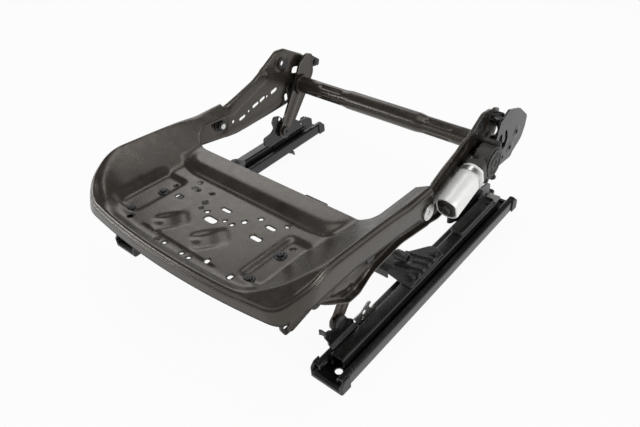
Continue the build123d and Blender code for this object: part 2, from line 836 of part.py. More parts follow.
def tilt_shaft_hangers():
    """Folded plates inside the side members that carry the tilt shaft, above the front links' sweep."""
    y, z = TILT_AXIS
    sheet = HANGER_OUTER - HANGER_INNER
    inner = HANGER_INNER + sheet / 2
    outer = WEB_INNER - sheet / 2
    shelf = z + 27.0
    path = [(inner, shelf - 12.0), (inner, shelf), (outer, shelf), (outer, shelf - 14.0)]
    hanger = along_y(folded(path, sheet, 2.0), y - 10.0, y + 14.0)
    hanger += across_x(link(TILT_AXIS, (y + 2.0, shelf - 12.0), 12.0, 12.0), HANGER_INNER, HANGER_OUTER)
    hanger -= rod_x(TILT_AXIS, TILT_RADIUS + 2.0, HANGER_INNER - 1, HANGER_OUTER + 1)
    return Part() + [hanger, mirror(hanger, about=Plane.YZ)]


def tilt_shaft_bushes():
    bush = rod_x(TILT_AXIS, TILT_RADIUS + 2.0, HANGER_INNER, HANGER_OUTER)
    bush += rod_x(TILT_AXIS, TILT_RADIUS + 4.0, HANGER_OUTER, HANGER_OUTER + 1.2)
    bush -= rod_x(TILT_AXIS, TILT_RADIUS + 0.05, HANGER_INNER - 1, HANGER_OUTER + 2)
    return Part() + [bush, mirror(bush, about=Plane.YZ)]


def upper_link_rivets():
    under_head = LINK_INNER - SIDE_PLAY
    rivet = rod_x(FRONT_UPPER_PIVOT, PIVOT_PIN / 2, under_head, WEB_OUTER)
    rivet += rod_x(FRONT_UPPER_PIVOT, RIVET_HEAD, under_head - RIVET_HEAD_HEIGHT, under_head)
    rivet += rod_x(FRONT_UPPER_PIVOT, RIVET_HEAD - 1.0, WEB_OUTER, WEB_OUTER + RIVET_HEAD_HEIGHT)
    rivet += rod_x(FRONT_UPPER_PIVOT, RIVET_HEAD, LINK_OUTER + SIDE_PLAY, WEB_INNER)
    return Part() + [rivet, mirror(rivet, about=Plane.YZ)]


def pivot_bolts():
    """Shoulder bolts that the pan's arms turn on."""
    head = PAN_HALF + 0.3
    bolt = rod_x(PAN_PIVOT, 12.0, head, head + 3.0)
    bolt += rod_x(PAN_PIVOT, 7.0, WEB_OUTER, head)
    bolt += rod_x(PAN_PIVOT, 5.0, WEB_INNER - 9.0, WEB_OUTER)
    bolt -= rod_x(PAN_PIVOT, 2.8, head + 0.8, head + 5.0)
    return Part() + [bolt, mirror(bolt, about=Plane.YZ)]


def pivot_nuts():
    nut = across_x(Pos(*PAN_PIVOT) * RegularPolygon(9.0, 6), WEB_INNER - 7.0, WEB_INNER - 1.5)
    nut += rod_x(PAN_PIVOT, 12.0, WEB_INNER - 1.5, WEB_INNER)
    nut -= rod_x(PAN_PIVOT, 5.0, WEB_INNER - 8.0, WEB_INNER)
    return Part() + [nut, mirror(nut, about=Plane.YZ)]


def backrest_nuts():
    """Threaded bosses on the inner faces of the side members, for the bolts of the backrest's hinges."""
    nut = rod_x(BACKREST_BOLT, BACKREST_BOSS, WEB_INNER - BACKREST_BOSS_HEIGHT, WEB_INNER)
    nut -= rod_x(BACKREST_BOLT, BACKREST_THREAD, WEB_INNER - BACKREST_BOSS_HEIGHT - 1, WEB_INNER)
    return Part() + [nut, mirror(nut, about=Plane.YZ)]


def rear_outer_plate():
    """Plate outboard of the lift gears, on three spacers from the right side member."""
    outline = rounded(
        [
            (174, 186),
            (200, 198),
            (238, 184),
            (269, 158),
            (267, 140),
            (258, 122),
            (233, 110),
            (226, 103),
            (190, 106),
            (166, 116),
            (160, 140),
        ],
        [6, 10, 14, 8, 10, 16, 4, 6, 14, 12, 12],
    )
    window = rounded(
        [(176, 164), (176, 140), (186, 133), (200, 134), (205, 149), (196, 170)],
        [6, 6, 5, 6, 8, 8],
    )
    shape = outline - window - disc(pinion_axis(), HOUSING_RADIUS + 1.5)
    for centre, radius in (((235, 144), 3.6), ((218, 124), 3.8)):
        shape -= disc(centre, radius)
    shape -= slot((192, 117.5), (197, 117.5), 2.8)
    plate = across_x(shape, OUTER_PLATE, OUTER_PLATE + 3.0)
    for centre in OUTER_PLATE_POSTS:
        plate += rod_x(centre, 5.0, WEB_OUTER, OUTER_PLATE)
    return plate


def motor_plane(distance):
    """Plane across the motor's axis, which climbs to the rear, at a distance from its dark end."""
    slope = radians(MOTOR_SLOPE)
    along = Vector(0, cos(slope), sin(slope))
    above = Vector(0, -sin(slope), cos(slope))
    wheel = Vector(MOTOR_X, *pinion_axis())
    origin = wheel + above * MOTOR_OFFSET + along * (distance - MOTOR_LENGTH - MOTOR_NECK)
    return Plane(origin=origin, x_dir=(1, 0, 0), z_dir=along)


def along_motor(face, start, length):
    return extrude(motor_plane(start) * face, amount=length)


def lift_motor():
    section = Circle(MOTOR_RADIUS) & Rectangle(2 * MOTOR_FLAT, 2 * MOTOR_RADIUS)
    return along_motor(section, 0, MOTOR_LENGTH)


def lift_motor_cap():
    section = Circle(MOTOR_RADIUS - 1.0) & Rectangle(2 * MOTOR_FLAT - 2.0, 2 * MOTOR_RADIUS)
    return along_motor(section, -4.0, 4.0) + along_motor(Circle(7.0), -9.0, 5.0)


def lift_gear_housing():
    housing = rod_x(pinion_axis(), HOUSING_RADIUS, HOUSING_INNER, HOUSING_OUTER)
    housing += along_motor(RectangleRounded(30, 36, 6), MOTOR_LENGTH, 10.0)
    housing += along_motor(Circle(10.0), MOTOR_LENGTH + 5.0, 54.0)
    for centre in housing_screws():
        housing += rod_x(centre, HOUSING_SCREW_RADIUS, WEB_OUTER, HOUSING_OUTER)
    return housing - rod_x(pinion_axis(), PINION_SHAFT + 0.05, 200, PINION_END + 2.0)


def housing_screws():
    """Places of the three screws round the housing."""
    y, z = pinion_axis()
    reach = HOUSING_RADIUS + 2.0
    return [(y + reach * cos(radians(a)), z + reach * sin(radians(a))) for a in HOUSING_SCREW_ANGLES]


def lift_gear_cover():
    return rod_x(pinion_axis(), HOUSING_RADIUS - 4.0, HOUSING_OUTER, HOUSING_OUTER + 2.0)


def lift_gear_screws():
    screws = []
    for centre in housing_screws():
        screw = rod_x(centre, HOUSING_SCREW_RADIUS - 0.5, HOUSING_OUTER, HOUSING_OUTER + 3.0)
        screws.append(screw - rod_x(centre, 2.0, HOUSING_OUTER + 1.0, HOUSING_OUTER + 4.0))
    return Part() + screws


def motor_strap():
    """Zinc band round the motor, with a foot on the side member's web."""
    start = MOTOR_LENGTH - 14.0
    outside = Circle(MOTOR_RADIUS + 1.2) & Rectangle(2 * MOTOR_FLAT + 2.4, 60)
    inside = Circle(MOTOR_RADIUS) & Rectangle(2 * MOTOR_FLAT, 60)
    strap = along_motor(outside - inside, start, 8.0)
    depth = MOTOR_X - MOTOR_FLAT - WEB_OUTER - 1.2
    foot = Pos(-MOTOR_FLAT - 1.2 - depth / 2, 0) * Rectangle(depth, 16.0)
    return strap + along_motor(foot, start, 8.0)


def harness_bracket():
    """Plate for the wiring harness at the rear of the left side member."""
    outline = rounded(
        [(207, 150), (207, 175), (229, 179), (263, 153), (260, 142), (238, 146)],
        [3, 4, 6, 4, 4, 5],
    )
    plate = across_x(outline, -WEB_INNER, -WEB_INNER + 1.6)
    for centre, radius in (((226, 167), 3.5), (HARNESS_STUD, 3.0)):
        plate -= rod_x(centre, radius, -210, -190)
    return plate


def harness_stud():
    stud = rod_x(HARNESS_STUD, 3.0, -WEB_INNER - 10.0, -WEB_INNER + 5.5)
    return stud + rod_x(HARNESS_STUD, 6.0, -WEB_INNER + 1.6, -WEB_INNER + 4.0)


# Seat pan


def pan_shape(half, half_rear, front, corners, rear):
    """D outline: a bowed front edge, straight sides and a left and a right corner radius."""
    side = front + PAN_BOW * (half / PAN_BOW_AT) ** 2
    edges = ThreePointArc((-half, side), (0, front), (half, side)) + Polyline(
        (half, side), (half_rear, rear), (-half_rear, rear), (-half, side)
    )
    shape = make_face(edges)
    for x, corner in zip((-half, half), corners):
        shape = fillet(shape.vertices().sort_by_distance((x, side))[0], corner)
    return shape


def opening_shape(margin):
    """Outline of the opening behind the pan, widened by margin."""
    half = SEAT_OPENING_HALF + margin
    front = SEAT_OPENING_FRONT - margin
    shape = make_face(Polyline((-half, front), (half, front), (half, 60), (-half, 60), close=True))
    return fillet(shape.vertices().group_by(Axis.Y)[0], SEAT_OPENING_CORNER + margin)


def on_floor(shape, height):
    """Shape laid parallel to the pan's sloping floor, at a height above it."""
    floor = Plane(origin=(0, PAN_FLOOR_AT, PAN_FLOOR), x_dir=(1, 0, 0), z_dir=(0, PAN_FLOOR_SLOPE, 1))
    return floor.offset(height) * Pos(0, -PAN_FLOOR_AT) * shape


def floor_prism(shape, low, high):
    return extrude(on_floor(shape, low), amount=high - low)


def tapered(make_shape, bottom, top, inset):
    """Solid between two heights above the floor, whose outline make_shape(height) grows or shrinks."""
    return loft([on_floor(make_shape(height), height - inset) for height in (bottom, top)])


def pan_block(inset):
    """Outer form of the pan as a solid, drawn in by inset."""
    front = PAN_FRONT - 20
    rear = PAN_REAR + 10
    line = FilletPolyline(*[(y, z - inset) for y, z in PAN_CREST], radius=PAN_CREST_BENDS)
    below = Polyline(line @ 1, (PAN_CREST[-1][0], 60), (front, 60), line @ 0)
    half = PAN_HALF - inset
    foot_corners = [corner - inset for corner in PAN_CORNERS]
    brim_corners = [corner - inset for corner in PAN_BRIM_CORNERS]
    foot = pan_shape(half, half, PAN_FRONT + inset, foot_corners, rear + inset)
    brim = pan_shape(half, half, PAN_FRONT + inset + 8, brim_corners, rear + inset)
    block = upright(foot, 60, SKIRT_LEVEL)
    block += loft([Pos(0, 0, SKIRT_LEVEL) * foot, Pos(0, 0, BRIM_LEVEL) * brim])
    block &= across_x(make_face(line + below), -PAN_HALF - 5, PAN_HALF + 5)
    rim = [edge for edge in block.edges() if edge.bounding_box().min.Z > 150 and edge.center().Y < rear - 2]
    return fillet(rim, PAN_EDGE - inset)


def pan_form(inset):
    """Solid whose upper side is the pan's upper face, or its lower face when drawn in."""
    block = pan_block(inset)
    grow = 0.4 * inset / PAN_SHEET
    foot = pan_shape(145.0 + grow, 145.0 + grow, -270.0 - grow, (35.0, 30.0), 60.0)
    brim = pan_shape(224.0 + grow, 259.0 + grow, -345.0 - grow, (130.0, 95.0), 60.0)
    hollow = loft([on_floor(foot, -inset), on_floor(brim, 60.0 - inset)])

    def lip(height):
        half = 150.0 - 2.5 * height - grow
        front = SEAT_OPENING_FRONT - 34.0 + 1.75 * height + grow
        strip = make_face(Polyline((-half, front), (half, front), (half, -40), (-half, -40), close=True))
        return fillet(strip.vertices().group_by(Axis.Y)[0], 20.0)

    form = (block - hollow) + tapered(lip, -10.0, LIP_RISE, inset)

    def pad(height):
        return Pos(PAN_BOLT_X, -214) * RectangleRounded(48 + 4 * height, 96 + 3 * height, 8 + height)

    right_pad = tapered(pad, -PAD_DEPTH, 1.0, inset)
    form -= right_pad
    form -= mirror(right_pad, about=Plane.YZ)
    for centre, length, width in PAN_POCKETS:

        def pocket(height, centre=centre, length=length, width=width):
            size = 4 * height
            turned = Pos(*centre) * Rot(0, 0, POCKET_TURN)
            return turned * RectangleRounded(length + size, width + size, 9 + height)

        form -= tapered(pocket, -POCKET_DEPTH, 1.0, inset)
    return form


def pan_holes():
    """Shapes of the holes in the pan's floor."""
    holes = []
    for x, y, radius in PAN_ROUND_HOLES:
        holes.append(disc((x, y), radius))
    for x, y, reach, radius in PAN_SLOTS:
        holes.append(slot((x - reach, y), (x + reach, y), radius))
    for side in SIDES.values():
        for y in PAN_BOLTS_Y:
            holes.append(disc((side * PAN_BOLT_X, y), 4.5))
    return holes


def seat_pan():
    pan = pan_form(0) - pan_form(PAN_SHEET)
    pan -= upright(opening_shape(0), 60, 240)
    below = Pos(0, -150, 60) * Box(412, 400, 134 - 60, align=(Align.CENTER, Align.CENTER, Align.MIN))
    pan -= below
    skirt = [(-330, 134), (-268, 134), (-244, 146), (-150, 146), (-110, 139.5), (-67, 134), (-18, 126)]
    y, z = PAN_PIVOT
    side_view = make_face(Polyline(*skirt, (PAN_REAR, z), (PAN_REAR, 240), (-330, 240), close=True))
    side_view += disc(PAN_PIVOT, LUG_RADIUS)
    waste = make_face(Polyline((-340, 50), (60, 50), (60, 250), (-340, 250), close=True)) - side_view
    for inner, outer in ((206, 230), (-230, -206)):
        pan -= across_x(waste, inner, outer)
    pan -= Pos(0, PAN_REAR, 60) * Box(412, 60, 180, align=(Align.CENTER, Align.MIN, Align.MIN))
    pan -= rod_x(PAN_PIVOT, 7.0 + PIVOT_CLEARANCE, -230, 230)
    for hole in pan_holes():
        pan -= floor_prism(hole, -20.0, 15.0)
    return pan


def pan_bracket():
    """Plate under the pan's bolt pads, folded down to an ear with the tilt crank's slot."""
    width = EAR_OUTER - 99.0
    plate = Pos(99.0 + width / 2, -207) * Rectangle(width, 104)
    underside = -PAD_DEPTH - PAN_SHEET
    bracket = floor_prism(plate, underside - BRACKET_SHEET, underside)
    y, z = crank_pin()
    ear = rounded(
        [(-258, 139), (y - 15, z), (y - 9, z - 14), (y + 12, z - 14), (y + 20, z + 6), (y + 20, 136)],
        [1, 8, 6, 6, 8, 1],
    )
    bracket += across_x(ear, EAR_INNER, EAR_OUTER)
    for bolt_y in PAN_BOLTS_Y:
        bracket -= floor_prism(disc((PAN_BOLT_X, bolt_y), 4.1), -20.0, 15.0)
    window = slot((y - SLOT_REACH, z), (y + SLOT_REACH, z), CRANK_PIN / 2 + SLOT_CLEARANCE)
    return bracket - across_x(window, EAR_INNER - 1, EAR_OUTER + 1)


def pan_bolts():
    """Black flange bolts that hold the pan on its brackets, with weld nuts under the brackets."""
    bolts = []
    nut_face = -PAD_DEPTH - PAN_SHEET - BRACKET_SHEET
    for side in SIDES.values():
        for y in PAN_BOLTS_Y:
            centre = (side * PAN_BOLT_X, y)
            hexagon = Pos(*centre) * RegularPolygon(6.5, 6)
            bolt = floor_prism(disc(centre, 9.0), -PAD_DEPTH, 1.8 - PAD_DEPTH)
            bolt += floor_prism(hexagon, 1.8 - PAD_DEPTH, 6.0 - PAD_DEPTH)
            bolt += floor_prism(disc(centre, 4.0), nut_face - 6.0, -PAD_DEPTH)
            bolt += floor_prism(hexagon, nut_face - 5.0, nut_face)
            bolts.append(bolt)
    return Part() + bolts


# Tilt shaft


def crank_pin():
    """Centre of the crank's pin at rest."""
    y, z = TILT_AXIS
    return (y - CRANK_LENGTH * cos(CRANK_REST), z + CRANK_LENGTH * sin(CRANK_REST))


def tilt_shaft():
    end = HANGER_OUTER + 1.5
    return rod_x(TILT_AXIS, TILT_RADIUS, -end, end) - rod_x(TILT_AXIS, TILT_RADIUS - 2.0, -end - 1, end + 1)


def tilt_cranks():
    crank = across_x(link(TILT_AXIS, crank_pin(), 13.0, 8.0), CRANK_INNER, CRANK_OUTER)
    crank -= rod_x(TILT_AXIS, TILT_RADIUS, CRANK_INNER - 1, CRANK_OUTER + 1)
    crank += rod_x(crank_pin(), CRANK_PIN / 2, EAR_INNER - 2.0, CRANK_INNER)
    return Part() + [crank, mirror(crank, about=Plane.YZ)]


def main():
    os.makedirs("parts", exist_ok=True)
    nodes = {f"lower_rail_{side}": lower_rail(side) for side in SIDES}
    for make in SINGLE_NODES:
        nodes[make.__name__] = make()
    for make in PAIRED_NODES:
        for side, solid in both_sides(make).items():
            nodes[f"{make.__name__}_{side}"] = solid
    for name, solid in nodes.items():
        export_step(solid, f"parts/{name}.step")


SINGLE_NODES = [
    rail_rear_caps,
    rail_front_caps,
    locating_hooks,
    slide_spindles,
    spindle_supports,
    ball_cages,
    track_balls,
    slide_gearboxes,
    slide_beam,
    slide_motor,
    slide_motor_housing,
    drive_sleeves,
    bracket_screws,
    lower_link_rivets,
    cable_bracket,
    track_cover,
    rail_end_tabs,
    torque_tube,
    sector_gear,
    lift_pinion,
    torque_tube_bushes,
    tilt_shaft_hangers,
    tilt_shaft_bushes,
    upper_link_rivets,
    pivot_bolts,
    pivot_nuts,
    backrest_nuts,
    rear_outer_plate,
    lift_motor,
    lift_motor_cap,
    lift_gear_housing,
    lift_gear_cover,
    lift_gear_screws,
    motor_strap,
    harness_bracket,
    harness_stud,
    seat_pan,
    pan_bolts,
    tilt_shaft,
    tilt_cranks,
]
PAIRED_NODES = [
    upper_rail,
    front_link_bracket,
    rear_link_bracket,
    gearbox_bracket,
    front_link,
    rear_link,
    side_member,
    pan_bracket,
]

main()
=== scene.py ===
import json
from math import cos, pi, radians, sin

import bmesh
import bpy
import numpy as np
from mathutils import Matrix, Vector
from mathutils.geometry import delaunay_2d_cdt


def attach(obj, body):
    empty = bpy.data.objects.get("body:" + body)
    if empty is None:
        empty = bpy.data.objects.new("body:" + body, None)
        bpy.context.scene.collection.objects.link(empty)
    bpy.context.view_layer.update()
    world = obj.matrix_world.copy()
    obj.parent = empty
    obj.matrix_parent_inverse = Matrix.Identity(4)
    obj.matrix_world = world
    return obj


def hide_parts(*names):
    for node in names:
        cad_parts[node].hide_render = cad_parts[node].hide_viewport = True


# A powered front seat cushion frame. Sizes are in millimetres, and a mesh is written in metres.
MM = 0.001
ROW_SHARE = 0.866
SOLID_ANGLE = 35.0


# Node trees

FLOAT = "NodeSocketFloat"
VECTOR = "NodeSocketVector"
PLACE = ("Place", VECTOR, None)


class Wiring:
    """Adds nodes to a tree and links them by socket name."""

    def __init__(self, tree):
        self.tree = tree

    def node(self, kind, values=None, **settings):
        made = self.tree.nodes.new(kind)
        for key, value in settings.items():
            setattr(made, key, value)
        for socket, value in (values or {}).items():
            self.feed(made.inputs[socket], value)
        return made

    def feed(self, socket, value):
        if isinstance(value, bpy.types.NodeSocket):
            self.tree.links.new(value, socket)
        else:
            socket.default_value = value

    def math(self, operation, *values, clamp=False):
        made = self.node("ShaderNodeMath", operation=operation, use_clamp=clamp)
        for socket, value in zip(made.inputs, values):
            self.feed(socket, value)
        return made.outputs[0]

    def remap(self, value, low, high, to_low=0.0, to_high=1.0):
        made = self.node("ShaderNodeMapRange", {"Value": value, "From Min": low, "From Max": high})
        made.inputs["To Min"].default_value = to_low
        made.inputs["To Max"].default_value = to_high
        return made.outputs[0]

    def noise(self, vector, scale, detail=2.0, roughness=0.5):
        values = {"Vector": vector, "Scale": scale, "Detail": detail, "Roughness": roughness}
        return self.node("ShaderNodeTexNoise", values).outputs[0]

    def stretched(self, vector, scale):
        return self.node("ShaderNodeMapping", {"Vector": vector, "Scale": scale}).outputs[0]

    def blend(self, factor, first, second):
        made = self.node("ShaderNodeMix", data_type="RGBA")
        self.feed(made.inputs[0], factor)
        self.feed(made.inputs[6], first)
        self.feed(made.inputs[7], second)
        return made.outputs[2]


def node_group(name, inputs, outputs):
    """A shader group with named inputs and value outputs."""
    tree = bpy.data.node_groups.new(name, "ShaderNodeTree")
    for label, kind, default in inputs:
        socket = tree.interface.new_socket(label, in_out="INPUT", socket_type=kind)
        if default is not None:
            socket.default_value = default
    for label in outputs:
        tree.interface.new_socket(label, in_out="OUTPUT", socket_type=FLOAT)
    wires = Wiring(tree)
    return wires, wires.node("NodeGroupInput").outputs, wires.node("NodeGroupOutput").inputs


def make_paint_skin():
    """Dipped paint: a slow swell in the film, a fine orange peel and a patchy tint."""
    inputs = [PLACE, ("Peel Scale", FLOAT, 900.0), ("Peel", FLOAT, 0.4)]
    wires, given, out = node_group("paint skin", inputs, ["Height", "Tint", "Sheen"])
    place = given["Place"]
    swell = wires.noise(place, 45.0, 3.0)
    peel = wires.noise(place, given["Peel Scale"], 2.0)
    wires.feed(out["Height"], wires.math("ADD", swell, wires.math("MULTIPLY", peel, given["Peel"])))
    wires.feed(out["Tint"], wires.remap(wires.noise(place, 14.0, 4.0, 0.6), 0.3, 0.7))
    wires.feed(out["Sheen"], wires.remap(wires.noise(place, 70.0, 5.0, 0.65), 0.3, 0.75))


def make_rubbed_and_highlit_edge():
    """Sharp edges, lightened where paint has rubbed off and as a painted highlight: the rounded normal
    leaves the true one there.
    """
    inputs = [PLACE, ("Width", FLOAT, 0.0006), ("Patches", FLOAT, 120.0)]
    wires, given, out = node_group("rubbed and highlit edge", inputs, ["Mask"])
    rounded = wires.node("ShaderNodeBevel", {"Radius": given["Width"]}, samples=4)
    true = wires.node("ShaderNodeNewGeometry")
    dot = wires.node("ShaderNodeVectorMath", operation="DOT_PRODUCT")
    wires.feed(dot.inputs[0], rounded.outputs[0])
    wires.feed(dot.inputs[1], true.outputs["Normal"])
    edge = wires.remap(dot.outputs["Value"], 0.985, 0.86)
    patch = wires.remap(wires.noise(given["Place"], given["Patches"], 4.0, 0.6), 0.42, 0.62)
    wires.feed(out["Mask"], wires.math("MULTIPLY", edge, patch, clamp=True))


def make_fine_dust():
    """Pale dust that has settled on what faces up."""
    wires, given, out = node_group("fine dust", [PLACE, ("Amount", FLOAT, 0.3)], ["Mask"])
    facing = wires.node("ShaderNodeTexCoord")
    split = wires.node("ShaderNodeSeparateXYZ", {"Vector": facing.outputs["Normal"]})
    up = wires.remap(split.outputs["Z"], 0.2, 1.0)
    cloud = wires.remap(wires.noise(given["Place"], 30.0, 6.0, 0.65), 0.35, 0.75)
    speck = wires.remap(wires.noise(given["Place"], 1400.0, 1.0), 0.62, 0.75)
    both = wires.math("ADD", cloud, wires.math("MULTIPLY", speck, 0.6))
    mask = wires.math("MULTIPLY", wires.math("MULTIPLY", up, both), given["Amount"], clamp=True)
    wires.feed(out["Mask"], mask)


def make_drawn_lines():
    """Fine lines that rolling or drawing leaves along a sheet or a can."""
    inputs = [PLACE, ("Across", VECTOR, (1.0, 0.02, 1.0)), ("Scale", FLOAT, 900.0)]
    wires, given, out = node_group("drawn lines", inputs, ["Height", "Tint"])
    place = wires.stretched(given["Place"], given["Across"])
    wires.feed(out["Height"], wires.noise(place, given["Scale"], 3.0, 0.6))
    slow = wires.math("MULTIPLY", given["Scale"], 0.12)
    wires.feed(out["Tint"], wires.remap(wires.noise(place, slow, 4.0, 0.6), 0.3, 0.7))


def make_scratches():
    """Sparse thin scratches in two directions."""
    wires, given, out = node_group("scratches", [PLACE, ("Density", FLOAT, 0.5)], ["Mask"])
    masks = []
    for turn, scale in ((0.5, (40.0, 900.0, 60.0)), (-0.9, (700.0, 30.0, 50.0))):
        turned = wires.node("ShaderNodeMapping", {"Vector": given["Place"], "Rotation": (0.2, 0.3, turn)})
        place = wires.stretched(turned.outputs[0], scale)
        line = wires.noise(place, 1.0, 1.0)
        masks.append(wires.remap(line, 0.74, 0.78))
    both = wires.math("MAXIMUM", masks[0], masks[1])
    wires.feed(out["Mask"], wires.math("MULTIPLY", both, given["Density"], clamp=True))


def make_moulded_grain():
    """Spark-eroded grain of a moulded plastic part."""
    inputs = [PLACE, ("Grain Scale", FLOAT, 1500.0)]
    wires, given, out = node_group("moulded grain", inputs, ["Height", "Tint"])
    cells = wires.node("ShaderNodeTexVoronoi", {"Vector": given["Place"], "Scale": given["Grain Scale"]})
    wires.feed(out["Height"], cells.outputs["Distance"])
    wires.feed(out["Tint"], wires.noise(given["Place"], 40.0, 4.0, 0.6))


for make_effect in (
    make_paint_skin, make_rubbed_and_highlit_edge, make_fine_dust, make_drawn_lines, make_scratches, make_moulded_grain
):
    make_effect()


# Finishes

DUST_ON_PAINT = (0.30, 0.28, 0.25, 1)
DUST_ON_METAL = (0.42, 0.40, 0.37, 1)
DUST_ON_PLASTIC = (0.30, 0.28, 0.26, 1)


def grey(level):
    """A neutral colour."""
    return (level, level, level, 1)


def finish(name, rough, metallic=0.0, specular=0.5, tint=(1, 1, 1, 1)):
    """A new material with one main shader, and the values that are the same all over it."""
    material = bpy.data.materials.new(name)
    material.use_nodes = True
    material.node_tree.nodes.clear()
    wires = Wiring(material.node_tree)
    shader = wires.node(
        "ShaderNodeBsdfPrincipled",
        {
            "Roughness": rough,
            "Metallic": metallic,
            "Specular IOR Level": specular,
            "Specular Tint": tint,
        },
    )
    output = wires.node("ShaderNodeOutputMaterial")
    wires.feed(output.inputs["Surface"], shader.outputs[0])
    place = wires.node("ShaderNodeTexCoord").outputs["Object"]
    return material, wires, shader.inputs, place


def effect(wires, group, place, **values):
    """Places a node group in a material with the values of its own."""
    made = wires.node("ShaderNodeGroup")
    made.node_tree = bpy.data.node_groups[group]
    wires.feed(made.inputs["Place"], place)
    for socket, value in values.items():
        wires.feed(made.inputs[socket.replace("_", " ")], value)
    return made.outputs


def bump(wires, shader, height, strength, distance):
    """Links a height to the shader's normal."""
    made = wires.node("ShaderNodeBump", {"Height": height, "Strength": strength, "Distance": distance})
    wires.feed(shader["Normal"], made.outputs[0])


def painted_steel(name, dark, light, bare_and_highlit, rough, edge_mark_width, dust, specular=0.5, tint=(1, 1, 1, 1)):
    """Dipped or sprayed paint that is rubbed through at sharp edges, with a painted highlight there too,
    and nearly black as painted shade along a marked hem.
    """
    material, wires, shader, place = finish(name, rough[0], specular=specular, tint=tint)
    skin = effect(wires, "paint skin", place)
    rubbed_and_highlit = effect(wires, "rubbed and highlit edge", place, Width=edge_mark_width)
    film = effect(wires, "fine dust", place, Amount=dust)
    lines = effect(wires, "scratches", place, Density=0.35)
    colour = wires.blend(skin["Tint"], dark, light)
    colour = wires.blend(film["Mask"], colour, DUST_ON_PAINT)
    # Sharp edges lighten towards the bare colour: partly paint rubbed through, partly a painted highlight.
    worn_and_highlit = wires.math("MAXIMUM", rubbed_and_highlit["Mask"], wires.math("MULTIPLY", lines["Mask"], 0.3))
    colour = wires.blend(worn_and_highlit, colour, bare_and_highlit)
    # Painted shade: the marked hem strip is darkened to near black and made rough, for the shadow in the
    # gap under the skirt.
    hem_shade = wires.node("ShaderNodeAttribute", attribute_name="hem_shade").outputs["Fac"]
    colour = wires.blend(hem_shade, colour, grey(0.004))
    wires.feed(shader["Base Color"], colour)
    sheen = wires.remap(skin["Sheen"], 0.0, 1.0, rough[0], rough[1])
    sheen = wires.math("ADD", sheen, wires.math("MULTIPLY", film["Mask"], 0.25))
    wires.feed(shader["Roughness"], wires.math("MAXIMUM", sheen, wires.math("MULTIPLY", hem_shade, 0.85)))
    wires.feed(shader["Metallic"], wires.math("MULTIPLY", rubbed_and_highlit["Mask"], 0.6))
    bump(wires, shader, skin["Height"], 0.25, 0.0003)
    return material


def bare_metal(name, dark, light, rough, across, scale, metallic=1.0):
    """Rolled, drawn or plated metal. Across stretches its lines, and scale sets how fine they are."""
    material, wires, shader, place = finish(name, rough[0], metallic=metallic)
    lines = effect(wires, "drawn lines", place, Across=across, Scale=scale)
    marks = effect(wires, "scratches", place, Density=0.5)
    film = effect(wires, "fine dust", place, Amount=0.1)
    colour = wires.blend(lines["Tint"], dark, light)
    colour = wires.blend(film["Mask"], colour, DUST_ON_METAL)
    wires.feed(shader["Base Color"], colour)
    sheen = wires.remap(lines["Tint"], 0.0, 1.0, rough[0], rough[1])
    wires.feed(shader["Roughness"], wires.math("ADD", sheen, wires.math("MULTIPLY", marks["Mask"], 0.15)))
    bump(wires, shader, lines["Height"], 0.15, 0.0001)
    return material


def moulded_plastic(name, dark, light, rough):
    """Black plastic with a fine grain."""
    material, wires, shader, place = finish(name, rough[0])
    skin = effect(wires, "moulded grain", place, Grain_Scale=1500.0)
    rubbed_and_highlit = effect(wires, "rubbed and highlit edge", place, Width=0.0005)
    film = effect(wires, "fine dust", place, Amount=0.15)
    colour = wires.blend(skin["Tint"], dark, light)
    colour = wires.blend(film["Mask"], colour, DUST_ON_PLASTIC)
    # Sharp edges lighten to grey: partly rubbed wear, partly a painted highlight.
    colour = wires.blend(wires.math("MULTIPLY", rubbed_and_highlit["Mask"], 0.5), colour, grey(0.2))
    wires.feed(shader["Base Color"], colour)
    wires.feed(shader["Roughness"], wires.remap(skin["Tint"], 0.2, 0.8, rough[0], rough[1]))
    bump(wires, shader, skin["Height"], 0.2, 0.0001)
    return material


